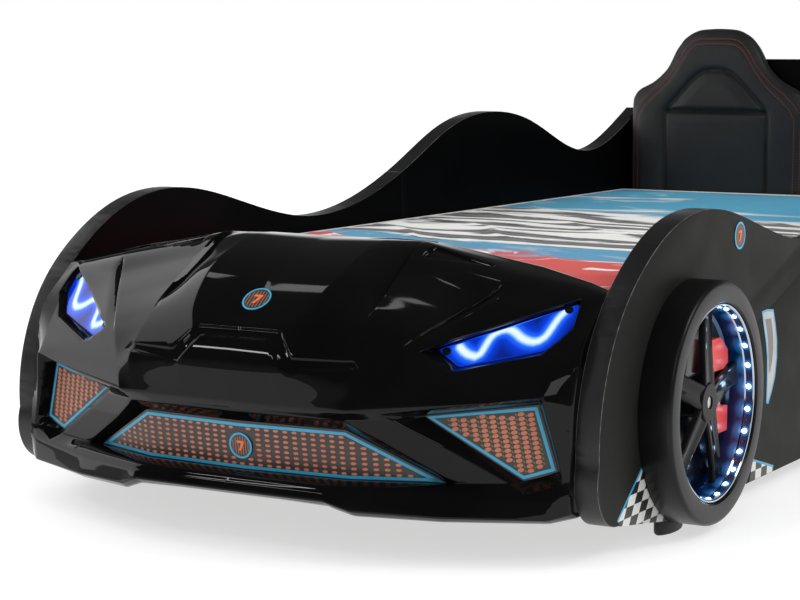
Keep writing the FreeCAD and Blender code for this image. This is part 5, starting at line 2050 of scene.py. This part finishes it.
    def _stitches(self, pad: bpy.types.Object, side: str, centre: float) -> None:
        """Threads along the two lines and a corded seam round the insert."""
        for label, lines, gap, size, paint in (
                ("stitches", (self.OUTER_LINE, self.INNER_LINE), 6.4, (5.0, 1.5, 1.2), Paint.THREAD),
                ("corded_seam", (self.INSERT[:6],), 6.0, (4.8, 3.2, 2.6), Paint.DARK_THREAD)):
            points, facing, along = [], [], []
            for half in lines:
                runs = [self.whole(half)] if label == "stitches" else [half, [(-x, z) for x, z in half]]
                for run in runs:
                    self._walk(pad, run, gap, centre, (points, facing, along))
            made = Repeat(Item.BEAD, size, paint, 6).build(f"seat_pad_{side}_{label}", np.array(points),
                                                           np.array(facing), np.array(along))
            done(made, "base", "black_leatherette")

    def _walk(self, pad: bpy.types.Object, run: Sequence[Point2], gap: float, centre: float,
              found: tuple[list, list, list]) -> None:
        """Set places along a line on the pad's front.

        Args:
            pad: the pad that the line lies on.
            run: the line, from the pad's middle.
            gap: from one place to the next.
            centre: the pad's middle in X.
            found: places, facings and directions so far, added to.
        """
        spots = np.array(run, float)
        lengths = lengths_along(spots)
        for way in np.arange(gap / 2, lengths[-1], gap):
            x, z = np.interp(way, lengths, spots[:, 0]), np.interp(way, lengths, spots[:, 1])
            ahead = np.array([np.interp(way + 1, lengths, spots[:, 0]) - x, 0.0,
                              np.interp(way + 1, lengths, spots[:, 1]) - z])
            start = Vector(put([(x + centre, self.face - 80, z)])[0])
            hit, spot, normal, _ = pad.ray_cast(start, Vector((0.0, 1.0, 0.0)))
            if hit:
                found[0].append(spot)
                found[1].append(normal)
                found[2].append(ahead)


@dataclass
class Mattress:
    """The quilted mattress with corded edges, lifted out with the coverlet."""

    half: float = 448.0
    front: float = 148.0
    back: float = 2144.0
    low: float = 192.4
    high: float = 350.5
    corner: float = 38.0
    quilt: float = 130.0

    def build(self) -> None:
        """Make the mattress and its cords."""
        made = self._body()
        done(made, "mattress", "mattress_fabric", "mattress")
        for label, z in (("low", self.low + 10), ("high", self.high - 9)):
            cord = tube(f"mattress_cord_{label}", self._ring(-0.6, 110), z, 4.2, Paint.PIPING)
            done(cord, "mattress", "mattress_fabric")

    def _ring(self, off: float, count: int) -> list[Point2]:
        """The mattress outline, moved in or out, with round corners."""
        middle = (self.front + self.back) / 2
        long, wide = (self.back - self.front) / 2 + off, self.half + off
        round_by = min(max(2.0, self.corner + off), wide - 1)
        out = []
        arcs = ((wide, long, 0), (-wide, long, 90), (-wide, -long, 180), (wide, -long, 270))
        for x, y, first in arcs:
            cx, cy = x - math.copysign(round_by, x), y - math.copysign(round_by, y)
            for k in range(9):
                a = math.radians(first + 90 * k / 8)
                out.append((cx + round_by * math.cos(a), middle + cy + round_by * math.sin(a)))
        return spread(out, count * 4)

    def _body(self) -> bpy.types.Object:
        """Rings up the side and over the top, closed along the middle line."""
        rings = [(self.low, -40), (self.low, -14), (self.low + 3, -5), (self.low + 9, -1.5),
                 (self.low + 14, -3.5)]
        for k in range(1, 9):
            rings.append((self.low + 14 + (self.high - self.low - 27) * k / 9,
                          -3.5 + 3.0 * math.sin(math.pi * k / 9)))
        rings += [(self.high - 13, -3.5), (self.high - 9, -1.5), (self.high - 4, -4), (self.high - 1, -10)]
        inner = -18.0
        while inner > -self.half + 6:
            rings.append((self.high, inner))
            inner -= 12.0
        count = 130
        points: list = []
        for z, off in rings:
            for x, y in self._ring(off, count):
                quilted = off <= -18 and z > self.low + 50
                points.append((x, y, z + self._quilting(x, y) if quilted else z))
        faces = ring_faces(len(rings), count * 4)
        return outwards(make_mesh("mattress_cover", put(points), faces, paints=[Paint.TICKING]))

    def _quilting(self, x: float, y: float) -> float:
        """Dip of the top along two families of slanting seams."""
        dip = 0.0
        for sign in (1.0, -1.0):
            across = (x + sign * y) / math.sqrt(2.0)
            near = abs((across + self.quilt / 2) % self.quilt - self.quilt / 2)
            dip = max(dip, math.exp(-(near / 11.0) ** 2))
        return -4.0 * dip


def spread(ring: Sequence[Point2], count: int) -> list[Point2]:
    """Even points along a closed outline.

    Args:
        ring: the outline.
        count: how many points.

    Returns:
        The points.
    """
    spots = np.array(list(ring) + [ring[0]], float)
    lengths = lengths_along(spots)
    at = np.linspace(0, lengths[-1], count, endpoint=False)
    return list(zip(np.interp(at, lengths, spots[:, 0]), np.interp(at, lengths, spots[:, 1])))


def tube(name: str, ring: Sequence[Point2], z: float | np.ndarray, radius: float, paint: Paint,
         sides: int = 8) -> bpy.types.Object:
    """A closed round cord along a ring of points.

    Args:
        name: the piece's name.
        ring: X and Y of the cord's middle.
        z: its height, one for all or one for each point.
        radius: its radius.
        paint: its finish.
        sides: steps round it.

    Returns:
        The piece.
    """
    spots = np.array(ring, float)
    high = np.broadcast_to(np.asarray(z, float), (len(spots),))
    ahead = np.roll(spots, -1, axis=0) - np.roll(spots, 1, axis=0)
    ahead /= np.linalg.norm(ahead, axis=1)[:, None]
    points = []
    for k in range(sides):
        a = math.tau * k / sides
        shift = radius * math.cos(a)
        points.append(np.column_stack([spots[:, 0] + ahead[:, 1] * shift, spots[:, 1] - ahead[:, 0] * shift,
                                       high + radius * math.sin(a)]))
    faces = ring_faces(sides, len(spots), True)
    return outwards(make_mesh(name, put(np.concatenate(points)), faces, paints=[paint]))


@dataclass
class Coverlet:
    """The printed coverlet that lies on the mattress, with a pale hem cord."""

    half: float = 452.0
    front: float = 150.0
    back: float = 2148.0
    rest: float = 353.4
    thick: float = 2.0
    columns: int = 130
    rows: int = 280

    def height(self, x: np.ndarray, y: np.ndarray) -> np.ndarray:
        """Height of the cloth: low soft ridges that run across the bed, flat at the hem."""
        turn = x + 0.35 * y
        warp = 40 * np.sin(turn / 170) + 26 * np.sin((x - 0.6 * y) / 95 + 1.3)
        ridge = (1 - np.abs(np.sin((y + warp) / 105))) ** 3 * 6.0
        ridge += (1 - np.abs(np.sin((y * 0.8 + 0.45 * x + warp * 1.4) / 61 + 0.7))) ** 4 * 4.0
        ridge += 1.6 * np.sin(x / 83 + 2 * np.sin(y / 140)) * np.sin(y / 71 + 0.8)
        edge = np.minimum(np.minimum(self.half - np.abs(x), y - self.front), self.back - y)
        return self.rest + self.thick + 1.2 + (np.maximum(0.0, ridge) + 1.0) * ease(edge / 45.0)

    def build(self) -> None:
        """Make the cloth and its hem."""
        across = np.linspace(-self.half, self.half, self.columns + 1)
        along = np.linspace(self.front, self.back, self.rows + 1)
        x, y = (g.ravel() for g in np.meshgrid(across, along))
        top = self.height(x, y)
        points = np.concatenate([np.column_stack([x, y, top]), np.column_stack([x, y, top - self.thick])])
        wide, count = self.columns + 1, len(x)
        faces = []
        for j in range(self.rows):
            for i in range(self.columns):
                a = j * wide + i
                faces.append((a, a + 1, a + 1 + wide, a + wide))
                faces.append((count + a, count + a + wide, count + a + 1 + wide, count + a + 1))
        border = [i for i in range(wide)] + [j * wide + wide - 1 for j in range(1, self.rows + 1)]
        border += ([self.rows * wide + i for i in range(wide - 2, -1, -1)]
                   + [j * wide for j in range(self.rows - 1, 0, -1)])
        for a, b in zip(border, border[1:] + border[:1]):
            faces.append((b, a, a + count, b + count))
        made = make_mesh("coverlet_cloth", put(points), faces, paints=[Paint.COVERLET])
        shade(made.data, math.radians(60))
        ring = [(x[i], y[i]) for i in border]
        hem = tube("coverlet_hem", ring, top[border] - self.thick / 2, 2.6, Paint.PIPING)
        done(made, "coverlet", "coverlet_fabric", "coverlet")
        done(hem, "coverlet", "coverlet_fabric")


# ---------------------------------------------------------------- studio


@dataclass
class Studio:
    """Floor, backdrop light, lamps and the camera at the photograph's angle."""

    place: Point3 = (1.713, -3.657, 0.7045)
    dip: float = 0.117553
    swing: float = 0.529450
    lens: float = 98.18
    clear: float = 0.72
    haze: float = 0.5

    def build(self) -> None:
        """Make the whole studio."""
        self._camera()
        self._floor()
        self._world()
        for name, spot, aim, size, watts in (
                ("left_wall", (-3.1, -0.6, 1.55), (-0.2, -1.0, 0.3), (2.6, 2.5), 27.0),
                ("window_left", (-1.72, -0.55, 2.8), (0.0, -1.1, 0.35), (0.15, 0.19), 0.24),
                ("window_right", (-0.58, -0.53, 3.2), (0.2, -1.1, 0.34), (0.06, 0.07), 0.05),
                ("side_box", (2.6, -0.1, 2.3), (0.2, -1.1, 0.35), (0.9, 0.9), 22.0),
                ("near_box", (3.0, -2.9, 2.2), (0.4, -0.4, 0.3), (1.3, 1.3), 13.0),
                ("front_strip", (-1.45, -2.95, 2.05), (0.0, -1.2, 0.1), (1.0, 0.12), 8.0)):
            self._lamp(name, spot, aim, size, watts)
        bpy.context.scene.view_settings.view_transform = "Standard"

    def _camera(self) -> None:
        """The camera, fitted to the photograph."""
        data = bpy.data.cameras.new("camera")
        data.lens = self.lens
        data.sensor_width = 36.0
        data.clip_end = 60.0
        camera = bpy.data.objects.new("camera", data)
        camera.location = self.place
        camera.rotation_euler = (math.pi / 2 - self.dip, 0.0, self.swing)
        bpy.context.scene.collection.objects.link(camera)
        bpy.context.scene.camera = camera

    def _floor(self) -> None:
        """A pale floor that keeps the shadow and melts into the white background."""
        reach, steps = 14.0, 8
        grid = np.linspace(-reach, reach, steps + 1)
        points = [(x, y, 0.0) for y in grid for x in grid]
        faces = [(j * (steps + 1) + i, j * (steps + 1) + i + 1, (j + 1) * (steps + 1) + i + 1,
                  (j + 1) * (steps + 1) + i) for j in range(steps) for i in range(steps)]
        floor = make_mesh("floor", np.array(points), faces, smooth=False)
        made, tree, shader = material("floor_paper", Roughness=0.9, Specular_IOR_Level=0.1)
        place = tree.place()
        tree.feed(shader.inputs["Base Color"],
                  tree.mix(tree.noise(place, 3.0), (0.93, 0.93, 0.93), (0.95, 0.95, 0.95)))
        path = tree.add("ShaderNodeLightPath").outputs
        seen = tree.math("MAXIMUM", path["Is Camera Ray"],
                         tree.math("MAXIMUM", path["Is Glossy Ray"], path["Is Transmission Ray"]))
        squeezed = tree.stretched(place, (1.0, 0.6, 1.0))
        far = tree.add("ShaderNodeVectorMath", {0: squeezed}, operation="LENGTH").outputs["Value"]
        lift = tree.product(seen, tree.span(far, self.clear, self.clear * 1.5, self.haze, 1.0))
        glow = tree.add("ShaderNodeEmission", {"Color": (1.0, 1.0, 1.0, 1.0), "Strength": 1.22})
        blend = tree.add("ShaderNodeMixShader", {0: lift, 1: shader.outputs[0], 2: glow.outputs[0]})
        out = next(n for n in tree.tree.nodes if n.type == "OUTPUT_MATERIAL")
        tree.feed(out.inputs["Surface"], blend.outputs[0])
        floor.data.materials.append(made)

    def _world(self) -> None:
        """White for the camera and for mirrors near the horizon, plain light for the rest."""
        world = bpy.data.worlds.new("studio")
        world.use_nodes = True
        world.node_tree.nodes.clear()
        tree = Tree(world.node_tree)
        path = tree.add("ShaderNodeLightPath").outputs
        way = tree.add("ShaderNodeTexCoord").outputs["Generated"]
        apart = tree.add("ShaderNodeSeparateXYZ", {0: way}).outputs
        behind = tree.product(tree.span(apart[1], -0.3, 0.3, 0.25, 1.0),
                           tree.span(apart[0], 0.1, 0.4, 1.0, 0.25))
        band = tree.product(tree.span(apart[2], 0.08, 0.3, 1.0, 0.06), behind)
        seen = tree.math("MAXIMUM", path["Is Glossy Ray"], path["Is Transmission Ray"])
        other = tree.math("SUBTRACT", 1.0, tree.math("MAXIMUM", seen, path["Is Camera Ray"]))
        level = tree.math("ADD", tree.math("ADD", tree.product(seen, band), path["Is Camera Ray"]),
                          tree.product(other, 0.78))
        shade_node = tree.add("ShaderNodeBackground", {"Color": (1.0, 1.0, 1.0, 1.0), "Strength": level})
        tree.add("ShaderNodeOutputWorld", {"Surface": shade_node.outputs[0]})
        bpy.context.scene.world = world

    @staticmethod
    def _lamp(name: str, spot: Point3, aim: Point3, size: Point2, watts: float) -> None:
        """One soft box that looks at a place."""
        data = bpy.data.lights.new(name, "AREA")
        data.shape = "RECTANGLE"
        data.size, data.size_y = size
        data.energy = watts
        lamp = bpy.data.objects.new(name, data)
        lamp.location = spot
        lamp.rotation_euler = (Vector(aim) - Vector(spot)).to_track_quat("-Z", "Y").to_euler()
        bpy.context.scene.collection.objects.link(lamp)


def corners(box: Sequence[Vector]) -> list[list[float]]:
    """A box's two corners as plain lists of numbers."""
    return [[float(c) for c in corner] for corner in box]


def main() -> None:
    """Build the bed piece by piece."""
    logging.basicConfig(level=logging.INFO, format="%(name)s: %(message)s")
    Studio().build()
    shell = FrontShell(NoseSurface())
    shell.build()
    shell.badge()
    for side, sign in SIDES:
        Headlight(side, sign, shell).build()
    Grilles().build()
    Boards().build()
    PanelPrints().build()
    for axle in AXLES:
        for side, sign in SIDES:
            Wheel(axle, side, sign).build()
    SeatPads().build()
    Mattress().build()
    Coverlet().build()
    for node, paint, slot in (("wheel_bolts", Paint.STEEL, "bright_steel"),
                              ("joint_screws", Paint.STEEL, "bright_steel"),
                              ("lens_screws", Paint.BLACK_STEEL, "black_screw")):
        done(refined(node, node + "_dressed", paint, 0.35), "base", slot, node)


if __name__ == "__main__":
    main()
